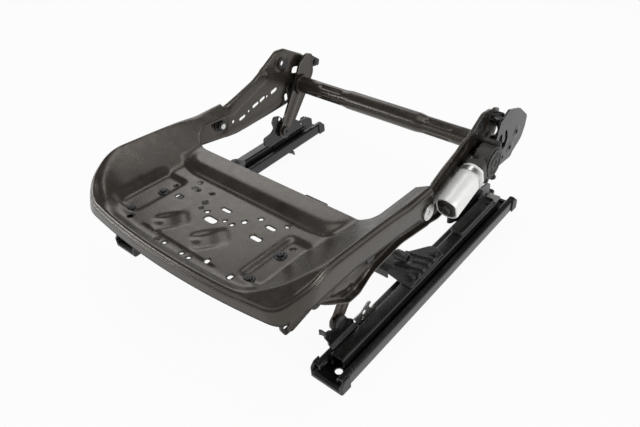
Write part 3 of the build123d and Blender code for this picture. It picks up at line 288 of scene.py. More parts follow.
FINISHES = {
    "frame_coat": painted_steel(
        "brown dipped paint",
        dark=(0.014, 0.0108, 0.0085, 1),
        light=(0.024, 0.0185, 0.0145, 1),
        bare_and_highlit=(0.20, 0.18, 0.16, 1),
        rough=(0.23, 0.34),
        edge_mark_width=0.0005,
        dust=0.08,
        specular=0.75,
        tint=(1.0, 0.92, 0.84, 1),
    ),
    "rail_coat": painted_steel(
        "black gloss paint",
        dark=grey(0.006),
        light=grey(0.012),
        bare_and_highlit=(0.35, 0.35, 0.34, 1),
        rough=(0.20, 0.32),
        edge_mark_width=0.0005,
        dust=0.05,
    ),
    "cap_plastic": moulded_plastic("black cap plastic", grey(0.012), grey(0.022), (0.38, 0.5)),
    "rail_steel": bare_metal(
        "ball steel", grey(0.45), grey(0.6), rough=(0.2, 0.3), across=(1.0, 0.05, 1.0), scale=900.0
    ),
    "zinc": bare_metal(
        "zinc plate",
        dark=(0.52, 0.52, 0.51, 1),
        light=(0.72, 0.72, 0.70, 1),
        rough=(0.26, 0.4),
        across=(1.0, 1.0, 1.0),
        scale=500.0,
    ),
    "motor_steel": bare_metal(
        "motor can",
        dark=(0.90, 0.90, 0.88, 1),
        light=(0.95, 0.95, 0.93, 1),
        rough=(0.34, 0.44),
        across=(1.0, 0.03, 1.0),
        scale=700.0,
        metallic=0.12,
    ),
    "motor_plastic": moulded_plastic(
        "motor plastic", (0.015, 0.014, 0.013, 1), (0.03, 0.028, 0.026, 1), (0.4, 0.55)
    ),
    "gear_steel": bare_metal(
        "gear steel",
        dark=(0.16, 0.15, 0.14, 1),
        light=(0.26, 0.25, 0.24, 1),
        rough=(0.34, 0.5),
        across=(1.0, 1.0, 1.0),
        scale=600.0,
    ),
    "black_screw": painted_steel(
        "black screw",
        dark=grey(0.010),
        light=grey(0.018),
        bare_and_highlit=(0.25, 0.25, 0.24, 1),
        rough=(0.3, 0.42),
        edge_mark_width=0.0004,
        dust=0.05,
    ),
    "bush_plastic": moulded_plastic("bush plastic", grey(0.02), (0.035, 0.035, 0.033, 1), (0.4, 0.5)),
}


# Outlines and pressed sheets


def rounded_path(points, radii, closed=True, step=1.5):
    """Points along a path whose corners are rounded, each with its own radius."""
    count = len(points)
    path = []
    for index, (x, y) in enumerate(points):
        radius = radii[index] if hasattr(radii, "__len__") else radii
        if not closed and index in (0, count - 1) or radius <= 0:
            path.append((x, y))
            continue
        before = np.subtract(points[index - 1], (x, y))
        after = np.subtract(points[(index + 1) % count], (x, y))
        room = 0.499 * min(np.hypot(*before), np.hypot(*after))
        before, after = before / np.hypot(*before), after / np.hypot(*after)
        half = np.arccos(np.clip(before @ after, -1.0, 1.0)) / 2
        if half > pi / 2 - 0.01:
            path.append((x, y))
            continue
        reach = min(radius / np.tan(half), room)
        radius = reach * np.tan(half)
        middle = (before + after) / np.hypot(*(before + after))
        centre = np.array((x, y)) + middle * (radius / np.sin(half))
        start = np.arctan2(*(np.array((x, y)) + before * reach - centre)[::-1])
        sweep = np.arctan2(*(np.array((x, y)) + after * reach - centre)[::-1]) - start
        sweep = (sweep + pi) % (2 * pi) - pi
        for turn in np.linspace(0.0, 1.0, max(3, int(abs(sweep) * radius / step) + 2)):
            angle = start + sweep * turn
            path.append((centre[0] + radius * cos(angle), centre[1] + radius * sin(angle)))
    return np.array(path, float)


def spaced(path, step, closed=True):
    """The same path with points at an even spacing, and no shorter ones."""
    ring = np.vstack([path, path[:1]]) if closed else path
    run = np.r_[0.0, np.cumsum(np.hypot(*np.diff(ring, axis=0).T))]
    count = max(8 if closed else 2, int(round(run[-1] / step)))
    where = np.linspace(0.0, run[-1], count + 1)
    even = np.column_stack([np.interp(where, run, ring[:, axis]) for axis in (0, 1)])
    return even[:-1] if closed else even


def round_hole(x, y, radius, count=20):
    """Points of a round hole about (x, y)."""
    turns = np.arange(count) * 2 * pi / count
    return np.column_stack([x + radius * np.cos(turns), y + radius * np.sin(turns)])


def long_hole(start, end, radius):
    """Points of a slot with round ends about start and end."""
    start, end = np.array(start, float), np.array(end, float)
    heading = np.arctan2(*(end - start)[::-1])
    half = np.linspace(-pi / 2, pi / 2, 10)
    first = np.column_stack([np.cos(heading + half), np.sin(heading + half)]) * radius + end
    second = np.column_stack([np.cos(heading + half + pi), np.sin(heading + half + pi)]) * radius + start
    return np.vstack([first, second])


def is_inside(points, loop):
    """Which points lie inside a closed loop."""
    result = np.zeros(len(points), bool)
    x, y = points[:, 0], points[:, 1]
    for (x0, y0), (x1, y1) in zip(loop, np.roll(loop, -1, axis=0)):
        if y0 == y1:
            continue
        crosses = (y0 > y) != (y1 > y)
        result ^= crosses & (x < (x1 - x0) * (y - y0) / (y1 - y0) + x0)
    return result


def nearest(points, others):
    """Distance from each point to the nearest of the others."""
    best = np.full(len(points), 1e9)
    for block in np.array_split(others, max(1, len(others) // 200)):
        best = np.minimum(best, np.hypot(*(points[:, None] - block[None]).transpose(2, 0, 1)).min(1))
    return best


def filled(outline, holes, pitch):
    """Even points and triangles that fill an outline round its holes. The outline's points come first."""
    loops = [outline] + list(holes)
    rim = np.vstack(loops)
    low, high = outline.min(0), outline.max(0)
    rows = np.arange(low[1], high[1], pitch * ROW_SHARE)
    grid = [np.arange(low[0] + (n % 2) * pitch / 2, high[0], pitch) for n in range(len(rows))]
    points = np.vstack([np.column_stack([xs, np.full(len(xs), y)]) for xs, y in zip(grid, rows)])
    points = points[is_inside(points, outline)]
    for hole in holes:
        points = points[~is_inside(points, hole)]
    points = points[nearest(points, rim) > pitch * 0.6]
    edges, first = [], 0
    for loop in loops:
        edges += [(first + n, first + (n + 1) % len(loop)) for n in range(len(loop))]
        first += len(loop)
    every = np.vstack([rim, points])
    made = delaunay_2d_cdt([Vector(p) for p in every], edges, [], 0, 1e-7)
    corners = np.array([tuple(v) for v in made[0]])
    faces = np.array([f for f in made[2] if len(f) == 3])
    middles = corners[faces].mean(1)
    keep = is_inside(middles, outline)
    for hole in holes:
        keep &= ~is_inside(middles, hole)
    return corners, faces[keep]


def softened(field, radius):
    """A height field with its creases rounded over about radius grid steps."""
    reach = int(radius * 3) + 1
    weights = np.exp(-0.5 * (np.arange(-reach, reach + 1) / radius) ** 2)
    weights /= weights.sum()
    for axis in (0, 1):
        padded = np.pad(field, [(reach, reach) if a == axis else (0, 0) for a in (0, 1)], "edge")
        field = np.apply_along_axis(lambda line: np.convolve(line, weights, "valid"), axis, padded)
    return field


def sampled(field, low, points):
    """Field values, on a grid of 1 mm that starts at low, at the given points."""
    place = points - np.array(low)
    cell = np.clip(np.floor(place).astype(int), 0, np.array(field.shape) - 2)
    u, v = np.clip(place - cell, 0.0, 1.0).T
    a, b = cell.T
    near = field[a, b] * (1 - u) + field[a + 1, b] * u
    far = field[a, b + 1] * (1 - u) + field[a + 1, b + 1] * u
    return near * (1 - v) + far * v


def make_piece(name, points, faces, body, slot):
    """A mesh object from points in millimetres, with its place in its mesh."""
    mesh = bpy.data.meshes.new(name)
    mesh.from_pydata((np.asarray(points, float) * MM).tolist(), [], [list(map(int, f)) for f in faces])
    mesh.materials.append(FINISHES[slot])
    mesh.shade_smooth()
    piece = bpy.data.objects.new(name, mesh)
    bpy.context.scene.collection.objects.link(piece)
    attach(piece, body)
    return piece


def thicken(piece, sheet, even=True):
    """Gives a sheet its thickness, inward from its outer face, with closed rims."""
    wall = piece.modifiers.new("thickness", "SOLIDIFY")
    wall.thickness = sheet * MM
    wall.offset = -1.0
    wall.use_even_offset = even
    wall.use_rim = True


def outward(piece, upward=(0, 0, 1)):
    """Merges doubles and turns all faces the same way, with most of the area facing upward."""
    work = bmesh.new()
    work.from_mesh(piece.data)
    bmesh.ops.remove_doubles(work, verts=work.verts, dist=0.02 * MM)
    bmesh.ops.recalc_face_normals(work, faces=work.faces)
    facing = sum((f.normal * f.calc_area() for f in work.faces), Vector())
    if facing.dot(Vector(upward)) < 0:
        bmesh.ops.reverse_faces(work, faces=work.faces)
    work.to_mesh(piece.data)
    work.free()
    piece.data.shade_smooth()


# Plates, strips, turned parts and eased copies of the solids


def offset_loop(loop, distance):
    """A closed loop moved outward by distance."""
    run = np.roll(loop, -1, 0) - np.roll(loop, 1, 0)
    run /= np.hypot(*run.T)[:, None]
    ahead = np.roll(loop, -1, 0)
    turning = np.sign(np.sum(loop[:, 0] * ahead[:, 1] - ahead[:, 0] * loop[:, 1]))
    return loop + np.column_stack([run[:, 1], -run[:, 0]]) * turning * distance


def shoulder(distance, width):
    """1 inside a contour, 0 past width outside it, with a round shoulder between."""
    t = np.clip(1.0 - distance / width, 0.0, 1.0)
    return t * t * (3.0 - 2.0 * t)


def line_distance(u, v, path):
    """Distance from each place to the nearest point of a path."""
    best = np.full(np.shape(u), 1e9)
    for (u0, v0), (u1, v1) in zip(path, path[1:]):
        run = np.array((u1 - u0, v1 - v0))
        share = np.clip(((u - u0) * run[0] + (v - v0) * run[1]) / (run @ run), 0.0, 1.0)
        best = np.minimum(best, np.hypot(u - u0 - share * run[0], v - v0 - share * run[1]))
    return best


def ring_height(u, v, centre, inner, outer, width=2.0):
    """1 on a flat ring between two radii, with round shoulders."""
    radius = np.hypot(u - centre[0], v - centre[1])
    return shoulder(radius - outer, width) - shoulder(radius - inner + width, width)


def ease_edges(piece, width=0.3, segments=2, angle=40.0):
    """Rounds what is sharper than angle by a small bevel."""
    bevel = piece.modifiers.new("eased edges", "BEVEL")
    bevel.width = width * MM
    bevel.segments = segments
    bevel.limit_method = "ANGLE"
    bevel.angle_limit = radians(angle)
    bevel.harden_normals = True


def sharpen(piece, angle=40.0):
    """Smooth shading that breaks at edges sharper than angle."""
    piece.data.shade_smooth()
    piece.data.set_sharp_from_angle(angle=radians(angle))


def sheet_piece(
    name, loop, holes, place, facing, sheet, body, slot, relief=None, turned=(), pitch=3.0, reach=None
):
    """A pressed sheet. Place turns (u, v, height) into x, y, z, and turned adds rows past the rim.

    Each row is (out, rise), and reach says how much of the rise each point of the rim gets.
    """
    flat, faces = filled(loop, holes, pitch)
    depth = relief(flat[:, 0], flat[:, 1]) if relief else np.zeros(len(flat))
    points = place(flat[:, 0], flat[:, 1], depth).tolist()
    faces = [tuple(face) for face in faces]
    share = reach(loop[:, 0], loop[:, 1]) if reach else np.ones(len(loop))
    last = list(range(len(loop)))
    for out, rise in turned:
        moved = offset_loop(loop, out)
        first = len(points)
        points.extend(place(moved[:, 0], moved[:, 1], rise * share + depth[:len(loop)]).tolist())
        now = list(range(first, first + len(loop)))
        for a in range(len(loop)):
            b = (a + 1) % len(loop)
            faces.append((last[a], last[b], now[b], now[a]))
        last = now
    piece = make_piece(name, points, faces, body, slot)
    outward(piece, facing)
    thicken(piece, sheet, even=False)
    ease_edges(piece)
    return piece


def across(x, side):
    """Places a sheet across X with its outer face at x."""
    return lambda u, v, height: np.column_stack([side * (x + height), u, v])


def level(z, side):
    """Places a sheet level at z."""
    return lambda u, v, height: np.column_stack([side * u, v, z + height])


def closed_sheet(name, outline, holes, place, sheet, body, slot, relief=None, pitch=3.0):
    """A closed plate of one thickness, with walls round its outline and its holes."""
    loop = spaced(outline, pitch)
    flat, faces = filled(loop, holes, pitch)
    height = relief(flat[:, 0], flat[:, 1]) if relief else np.zeros(len(flat))
    upper = place(flat[:, 0], flat[:, 1], height)
    lower = place(flat[:, 0], flat[:, 1], height - sheet)
    count = len(flat)
    faces = [tuple(face) for face in faces]
    faces += [tuple(count + n for n in reversed(face)) for face in faces]
    first = 0
    for rim in [loop] + list(holes):
        for n in range(len(rim)):
            a, b = first + n, first + (n + 1) % len(rim)
            faces.append((a, b, count + b, count + a))
        first += len(rim)
    piece = make_piece(name, np.vstack([upper, lower]), faces, body, slot)
    make_solid_normals(piece)
    sharpen(piece)
    ease_edges(piece, 0.3, 2, 55.0)
    return piece


def plate(name, outline, holes, x, sheet, body, slot, side=1, relief=None, pitch=3.0):
    """A flat or pressed plate across X with its outer face at x."""
    return closed_sheet(name, outline, holes, across(x, side), sheet, body, slot, relief, pitch)


def strip(name, path, width, sheet, body, slot, facing=(0, 0, 1)):
    """A bent strip: a path of points swept by the vector width."""
    path = np.array(path, float)
    rows = [path + np.array(width) * share for share in (0.0, 1 / 3, 2 / 3, 1.0)]
    points = np.vstack(rows)
    count = len(path)
    faces = []
    for row in range(3):
        for n in range(count - 1):
            a, b = row * count + n, row * count + n + 1
            faces.append((a, b, b + count, a + count))
    piece = make_piece(name, points, faces, body, slot)
    outward(piece, facing)
    thicken(piece, sheet)
    ease_edges(piece, 0.25)
    return piece


def bent(points, radii, step=1.0):
    """An open path with rounded bends."""
    return rounded_path(points, radii, closed=False, step=step)


def ring_faces(rings, count, closed=False):
    """Faces between rings of count points each, and from the last ring to the first where closed."""
    faces = []
    for ring in range(rings if closed else rings - 1):
        last, now = ring * count, (ring + 1) % rings * count
        for n in range(count):
            m = (n + 1) % count
            faces.append((last + n, last + m, now + m, now + n))
    return faces


def turned_piece(name, rings, place, body, slot, count):
    """A turned part from rings of (distance, radius) along an axis. A radius of 0 closes a pole."""
    points, rows = [], []
    for distance, radius in rings:
        if radius == 0:
            rows.append([len(points)])
            points.append(place(distance, np.zeros(1), np.zeros(1))[0])
            continue
        turns = np.arange(count) * 2 * pi / count
        rows.append(list(range(len(points), len(points) + count)))
        points.extend(place(distance, radius * np.cos(turns), radius * np.sin(turns)))
    faces = []
    for last, now in zip(rows, rows[1:]):
        for n in range(count):
            m = (n + 1) % count
            ring = [last[n % len(last)], last[m % len(last)], now[m % len(now)], now[n % len(now)]]
            faces.append(tuple(dict.fromkeys(ring)))
    piece = make_piece(name, points, faces, body, slot)
    outward(piece)
    make_solid_normals(piece)
    sharpen(piece, SOLID_ANGLE)
    return piece


def make_solid_normals(piece):
    """Turns the faces of a closed piece outward."""
    work = bmesh.new()
    work.from_mesh(piece.data)
    bmesh.ops.recalc_face_normals(work, faces=work.faces)
    if work.calc_volume(signed=True) < 0:
        bmesh.ops.reverse_faces(work, faces=work.faces)
    work.to_mesh(piece.data)
    work.free()


def along_x(centre, side=1):
    """Axis along X through (y, z)."""
    return lambda distance, a, b: [(side * distance, centre[0] + u, centre[1] + v) for u, v in zip(a, b)]


def eased_copy(frame, node):
    """The solid's own shape, merged, with eased edges and smooth rounds."""
    source = frame["nodes"][node]
    mesh = source.data.copy()
    mesh.transform(source.matrix_world)
    work = bmesh.new()
    work.from_mesh(mesh)
    bmesh.ops.remove_doubles(work, verts=work.verts, dist=0.002 * MM)
    bmesh.ops.dissolve_limit(work, angle_limit=radians(1.0), verts=work.verts, edges=work.edges)
    bmesh.ops.recalc_face_normals(work, faces=work.faces)
    work.to_mesh(mesh)
    work.free()
    mesh.name = "eased_" + node
    piece = bpy.data.objects.new("eased_" + node, mesh)
    bpy.context.scene.collection.objects.link(piece)
    slot = SLOTS[node]
    mesh.materials.clear()
    mesh.materials.append(FINISHES[slot])
    sharpen(piece, SOLID_ANGLE)
    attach(piece, BODIES[node])
    ease_edges(piece, 0.4, 2, SOLID_ANGLE)
    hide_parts(node)
    return piece


# Seat pan: one pressed sheet, with a hollow for the cushion, a rolled rim and two arms to the rear pivots

PAN_HALF = 215.0
PAN_FRONT = -291.5
PAN_REAR = 12.0
PAN_BOW = 9.5 / 150.0**2
PAN_SHEET = 1.2
PAN_PIVOT = (-2.0, 133.0)
LUG_RADIUS = 15.0
SKIRT_LEVEL = 136.0
BRIM_LEVEL = 196.0
CREST = [(-312, 157), (-268, 157), (-248, 172), (-213, 183), (-165, 190.5), (-40, 166.5), (26, 166.5)]
CREST_BENDS = [0, 30, 30, 90, 90, 90, 0]
SKIRT = [
    (-330, 134), (-268, 134), (-244, 146), (-150, 146), (-110, 139.5), (-67, 134), (-18, 126), (-12, 121),
]
SKIRT_BENDS = [0, 14, 14, 30, 30, 30, 6, 0]
PAN_CORNERS = (66.0, 40.0)
CORNER_GROWTH = (34.0, 30.0)
RAIL_COUNT = 90
ARC_COUNTS = (34, 26)
BOW_COUNT = 120
FRONT_LEAN = 8.0
# Height of the skirt's lowest strip that is painted nearly black as shade.
HEM_SHADE_HEIGHT = 5.0
HEM_TURN = 3.0
HEM_LIP = 2.0
RIM_INSET = 6.0
RIM_PROFILE = [
    (1.2, 0.35), (2.3, 1.1), (3.2, 2.2), (3.8, 3.5), (4.0, 5.0),
    (4.8, 5.4), (5.5, 6.0), (5.9, 7.0), (6.0, 8.5),
]
OPENING_HALF = 188.0
OPENING_FRONT = -82.0
OPENING_CORNERS = (58.0, 14.0)
OPENING_TURN = [(0.8, 0.2), (1.5, 0.7), (1.9, 1.6), (2.0, 4.5)]
FLOOR_FRONT = -258.0
FLOOR_LEVEL = 146.0
FLOOR_FALL = 0.055
HOLLOW_HALF = 145.0
HOLLOW_FRONT = -270.0
HOLLOW_REAR = 60.0
HOLLOW_CORNERS = (35.0, 30.0)
WALL_HEIGHT = 60.0
WALL_RUN_SIDE = 79.0
WALL_RUN_REAR = 114.0
WALL_RUN_FRONT = 75.0
WALL_CORNER_GROWTH = (95.0, 65.0)
RIDGE_HALF = 172.0
RIDGE_FRONT = -125.0
RIDGE_LENGTH = 200.0
RIDGE_CORNER = 34.0
RIDGE_HEIGHT = 8.0
PAD_MIDDLES = (-130.0, 124.0)
PAD_INNER_EDGE = 102.0
PAD_Y = -200.0
PAD_HALF_LENGTH = 49.0
PAD_CORNER = 10.0
PAD_DEPTH = 4.0
POCKETS = [((-48, -227), 50, 36), ((25, -222), 54, 38)]
POCKET_TURN = radians(55.0)
POCKET_CORNER = 9.0
POCKET_DEPTH = 3.0
DIMPLE_HEIGHT = 1.6
STEP_Y = -132.0
STEP_HEIGHT = 1.3
FOLD_Y = -257.5
FOLD_DEPTH = 0.9
PAN_GRID = (-225.0, -305.0)
PAN_GRID_SIZE = (451, 331)
PAN_BOLTS = [(118, -243.9), (118, -188.0), (-118, -243.9), (-118, -188.0)]
PAN_ROUND_HOLES = [
    (-101.5, -257.0, 4.0), (101.5, -257.0, 4.0), (-43.3, -254.0, 3.2), (56.4, -254.6, 3.6),
    (-30.5, -264.4, 2.8), (-16.4, -264.4, 2.8), (18.4, -264.4, 2.8), (32.4, -264.4, 2.8),
    (-88.5, -142.5, 3.4), (88.0, -141.5, 3.4), (-52.0, -151.7, 3.2), (48.0, -151.7, 3.2),
    (-43.0, -172.5, 3.6), (-37.6, -184.6, 2.5), (-23.5, -185.2, 3.0), (11.8, -185.0, 2.5),
    (25.6, -184.8, 2.8), (34.8, -170.2, 3.6), (-116.3, -167.8, 2.8), (122.5, -169.2, 3.4),
]
PAN_SLOTS = [
    (-80.0, -157.8, 4.5, 2.8), (72.5, -157.8, 5.0, 3.0), (-85.0, -184.6, 2.5, 3.8),
    (-5.0, -166.5, 5.5, 2.8), (-5.6, -194.6, 5.5, 5.2), (72.1, -185.5, 5.5, 3.6),
]


def floor_height(y):
    """Height of the hollow's floor, which falls to the rear."""
    return FLOOR_LEVEL - FLOOR_FALL * (y - FLOOR_FRONT)


def crest_height(y):
    """Height of the pan's rim along its length."""
    line = rounded_path(CREST, CREST_BENDS, closed=False)
    return np.interp(y, line[:, 0], line[:, 1])


def skirt_bottom(y):
    """Height of the skirt's lower edge, which rounds the pivot's lug at the rear."""
    line = rounded_path(SKIRT, SKIRT_BENDS, closed=False)
    level = np.interp(y, line[:, 0], line[:, 1])
    lug = PAN_PIVOT[1] - np.sqrt(np.maximum(LUG_RADIUS**2 - (y - PAN_PIVOT[0]) ** 2, 0.0))
    return np.where(y > SKIRT[-1][0], np.minimum(level, lug), level)


def d_shape_distance(x, y, half, half_rear, front, corners, rear):
    """Signed distance from a bowed front edge, straight sides and round corners, negative inside."""
    side = front + PAN_BOW * half**2
    slant = (half_rear - half) / (rear - side)
    across = (np.abs(x) - half - slant * (y - side)) / np.sqrt(1 + slant**2)
    slope = 2 * PAN_BOW * x
    ahead = (front + PAN_BOW * x**2 - y) / np.sqrt(1 + slope**2)
    corner = np.where(x < 0, corners[0], corners[1])
    a, b = np.maximum(across + corner, 0.0), np.maximum(ahead + corner, 0.0)
    return np.where((a > 0) & (b > 0), np.hypot(a, b) - corner, np.maximum(across, ahead))


def box_distance(x, y, half_x, half_y, corner):
    """Signed distance from a rectangle with round corners, negative inside."""
    a, b = np.abs(x) - half_x + corner, np.abs(y) - half_y + corner
    return np.hypot(np.maximum(a, 0), np.maximum(b, 0)) + np.minimum(np.maximum(a, b), 0) - corner


def level_where(distance, low, high):
    """Height at which a contour that grows with height reaches each point."""
    for _ in range(22):
        middle = (low + high) / 2
        inside = distance(middle) < 0
        low, high = np.where(inside, low, middle), np.where(inside, middle, high)
    return (low + high) / 2


def pan_field():
    """Heights of the pan's upper face on a grid of 1 mm."""
    xs = PAN_GRID[0] + np.arange(PAN_GRID_SIZE[0])
    ys = PAN_GRID[1] + np.arange(PAN_GRID_SIZE[1])
    x, y = np.meshgrid(xs, ys, indexing="ij")
    flat = np.zeros_like(x)

    def hollow(height):
        t = height / WALL_HEIGHT
        corners = [radius + growth * t for radius, growth in zip(HOLLOW_CORNERS, WALL_CORNER_GROWTH)]
        half, half_rear = HOLLOW_HALF + WALL_RUN_SIDE * t, HOLLOW_HALF + WALL_RUN_REAR * t
        front = HOLLOW_FRONT - WALL_RUN_FRONT * t
        return d_shape_distance(x, y, half, half_rear, front, corners, HOLLOW_REAR)

    def ridge(height):
        half = RIDGE_HALF - 2.5 * height
        middle = RIDGE_FRONT + 1.3 * height + RIDGE_LENGTH / 2
        return -box_distance(x, y - middle, half, RIDGE_LENGTH / 2, RIDGE_CORNER)

    wall = np.maximum(level_where(hollow, flat - 5.0, flat + 75.0), 0.0)
    lip = np.minimum(level_where(ridge, flat - 12.0, flat + RIDGE_HEIGHT), RIDGE_HEIGHT)
    field = np.minimum(crest_height(y), floor_height(y) + np.maximum(wall, lip))
    field = softened(field, 4.0)
    bend = 0.0045 * np.maximum(np.abs(x) - 100.0, 0.0) ** 2
    field += STEP_HEIGHT * shoulder(STEP_Y + bend - y, 2.2) * shoulder(np.abs(x) - 152.0, 12.0)
    fold = shoulder(y - FOLD_Y, 2.5) * shoulder(FOLD_Y - 4.5 - y, 16.0)
    field -= FOLD_DEPTH * shoulder(np.abs(x) - 66.0, 14.0) * fold
    press = np.zeros_like(x)
    for middle in PAD_MIDDLES:
        half = abs(middle) - PAD_INNER_EDGE

        def pad(height, middle=middle, half=half):
            half_x, half_y = half + 2.2 * height, PAD_HALF_LENGTH + 1.5 * height
            return box_distance(x - middle, y - PAD_Y, half_x, half_y, PAD_CORNER + height)

        press = np.minimum(press, np.clip(level_where(pad, flat - PAD_DEPTH, flat + 1.0), -PAD_DEPTH, 0.0))
    for (cx, cy), length, width in POCKETS:
        u = (x - cx) * cos(POCKET_TURN) + (y - cy) * sin(POCKET_TURN)
        v = (y - cy) * cos(POCKET_TURN) - (x - cx) * sin(POCKET_TURN)

        def pocket(height, u=u, v=v, length=length, width=width):
            half_u, half_v = length / 2 + 2 * height, width / 2 + 2 * height
            return box_distance(u, v, half_u, half_v, POCKET_CORNER + height)

        deep = np.clip(level_where(pocket, flat - POCKET_DEPTH, flat + 1.0), -POCKET_DEPTH, 0.0)
        deep *= 0.35 + 0.65 * shoulder(u + 6.0, 22.0)
        press = np.minimum(press, deep)
        dimple = np.hypot(u + length * 0.36, v - width * 0.12)
        press += DIMPLE_HEIGHT * shoulder(dimple - 2.0, 6.0)
    return field + softened(press, 1.8)


def pan_edge(inset, level):
    """Outline of the pan at a level, from the left arm's rear end round the front to the right one's."""
    t = (level - SKIRT_LEVEL) / (BRIM_LEVEL - SKIRT_LEVEL)
    half = PAN_HALF - inset
    front = PAN_FRONT + inset + FRONT_LEAN * t
    path = []
    for side, radius, growth, arc_count in zip((-1, 1), PAN_CORNERS, CORNER_GROWTH, ARC_COUNTS):
        corner = radius + growth * t - inset
        centre_x = half - corner
        touch = centre_x
        for _ in range(4):
            slope = 2 * PAN_BOW * touch
            touch = centre_x + corner * slope / np.hypot(1, slope)
        slope = 2 * PAN_BOW * touch
        centre_y = front + PAN_BOW * touch**2 + corner / np.hypot(1, slope)
        start = np.arctan2(front + PAN_BOW * touch**2 - centre_y, touch - centre_x)
        turns = np.linspace(start, 0, arc_count)
        arc = [(centre_x + corner * cos(turn), centre_y + corner * sin(turn)) for turn in turns]
        arm = [(half, y) for y in np.linspace(centre_y, PAN_REAR, RAIL_COUNT + 1)[1:]]
        path.append((touch, np.array(arc + arm) * (side, 1)))
    (left_touch, left), (right_touch, right) = path
    xs = np.linspace(-left_touch, right_touch, BOW_COUNT + 2)[1:-1]
    bow = np.column_stack([xs, front + PAN_BOW * xs**2])
    return np.vstack([left[::-1], bow, right])


def pan_edge_at(inset, levels):
    """Points of the outline with a level of its own for each point."""
    low, high = pan_edge(inset, SKIRT_LEVEL), pan_edge(inset, BRIM_LEVEL)
    t = ((levels - SKIRT_LEVEL) / (BRIM_LEVEL - SKIRT_LEVEL))[:, None]
    return low + (high - low) * t


def shade_hem(piece):
    """Marks the skirt's lowest strip, which the paint darkens to nearly black as painted shade of the gap
    under the skirt.
    """
    count = len(piece.data.vertices)
    place = np.empty(count * 3)
    piece.data.vertices.foreach_get("co", place)
    x, y, z = place.reshape(-1, 3).T / MM
    edge = d_shape_distance(x, y, PAN_HALF, PAN_HALF, PAN_FRONT, PAN_CORNERS, PAN_REAR)
    strip = (z < skirt_bottom(y) + HEM_SHADE_HEIGHT) & (edge > -RIM_INSET)
    hem_shade = piece.data.attributes.new("hem_shade", "FLOAT", "POINT")
    hem_shade.data.foreach_set("value", strip.astype(float))


def make_pan():
    """The whole sheet: pressed face and holes, rolled rim, skirt and the opening's turned edge."""
    field = pan_field()
    levels = crest_height(pan_edge(RIM_INSET, 165.0)[:, 1])
    for _ in range(3):
        rim = pan_edge_at(RIM_INSET, levels)
        levels = sampled(field, PAN_GRID, rim)
    half, front = OPENING_HALF, OPENING_FRONT
    left_corner, right_corner = OPENING_CORNERS
    opening = rounded_path(
        [(half, PAN_REAR), (half, front), (-half, front), (-half, PAN_REAR)],
        [0, right_corner, left_corner, 0],
        closed=False,
    )
    opening = spaced(opening, 2.4, closed=False)
    outline = np.vstack([rim, opening])
    holes = [round_hole(x, y, r) for x, y, r in PAN_ROUND_HOLES]
    holes += [long_hole((x - reach, y), (x + reach, y), r) for x, y, reach, r in PAN_SLOTS]
    holes += [round_hole(x, y, 4.5) for x, y in PAN_BOLTS]
    flat, faces = filled(outline, holes, 2.5)
    points = np.column_stack([flat, sampled(field, PAN_GRID, flat)]).tolist()
    faces = [tuple(f) for f in faces]

    def add_rows(start, rows):
        last = start
        for row in rows:
            first = len(points)
            points.extend(row.tolist())
            now = list(range(first, first + len(row)))
            for a in range(len(row) - 1):
                faces.append((last[a], last[a + 1], now[a + 1], now[a]))
            last = now
        return last

    rim_indices = list(range(len(rim)))
    rows = []
    for out, drop in RIM_PROFILE:
        rows.append(np.column_stack([pan_edge_at(RIM_INSET - out, levels - drop), levels - drop]))
    top = levels - RIM_PROFILE[-1][1]
    outer = pan_edge_at(0.0, top)
    bottom = skirt_bottom(outer[:, 1])
    for share in (0.2, 0.4, 0.6, 0.8, 1.0):
        z = top + (bottom + HEM_TURN - top) * share
        rows.append(np.column_stack([pan_edge_at(0.0, z), z]))
    for turn in (30, 60, 90):
        inset = HEM_TURN * (1 - cos(radians(turn)))
        z = bottom + HEM_TURN * (1 - sin(radians(turn)))
        rows.append(np.column_stack([pan_edge_at(inset, z), z]))
    rows.append(np.column_stack([pan_edge_at(HEM_TURN + HEM_LIP, bottom), bottom]))
    add_rows(rim_indices, rows)

    start = list(range(len(rim), len(rim) + len(opening)))
    inner = np.array([points[n] for n in start])
    run = np.gradient(inner[:, :2], axis=0)
    run /= np.hypot(*run.T)[:, None]
    away = np.column_stack([run[:, 1], -run[:, 0]])
    rows = [np.column_stack([inner[:, :2] + away * out, inner[:, 2] - drop]) for out, drop in OPENING_TURN]
    add_rows(start, rows)
    piece = make_piece("pressed_pan", points, faces, "pan", "frame_coat")
    outward(piece)
    shade_hem(piece)
    thicken(piece, PAN_SHEET)
    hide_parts("seat_pan")
    return piece


# Side members: pressed channels open to the outside

WEB = 204.0
WEB_SHEET = 2.0
NOSE_CORNER = 90.0
NOSE_FRONT = -269.5
TUBE_AXIS = (197.0, 130.0)
REAR_PIVOT = (140.0, 55.0)
FRONT_PIVOT = (-175.0, 55.0)
FRONT_UPPER_PIVOT = (-118.0, 130.0)
RECLINER_BOLT = (159.0, 185.0)
MEMBER_OUTLINE = [
    (-195, 116), (-172, 99), (-150, 98), (-124, 112), (-60, 116), (32, 98), (155, 98), (212, 100),
    (244, 128), (248, 150), (218, 180), (174, 206), (153, 209), (122, 193), (88, 178), (50, 168),
    (18, 159), (-70, 158), (-170, 170), (-212, 158), (-228, 144), (-224, 134),
]
MEMBER_BENDS = [30, 15, 15, 40, 60, 60, 60, 20, 12, 20, 20, 12, 12, 30, 30, 30, 20, 60, 30, 16, 8, 8]
MEMBER_HOLES = [
    ((28, 125), (28, 125), 3.0), ((45, 122), (55, 123.5), 3.0), ((67, 128), (67, 128), 2.5),
    ((80, 131.5), (90, 133.5), 3.2), ((99, 135), (107, 137), 3.2), ((115, 136.5), (115, 136.5), 2.5),
    ((129, 138.5), (139, 140.5), 3.5), ((163, 110), (163, 117), 4.5), ((192, 158), (208, 153), 6.5),
]
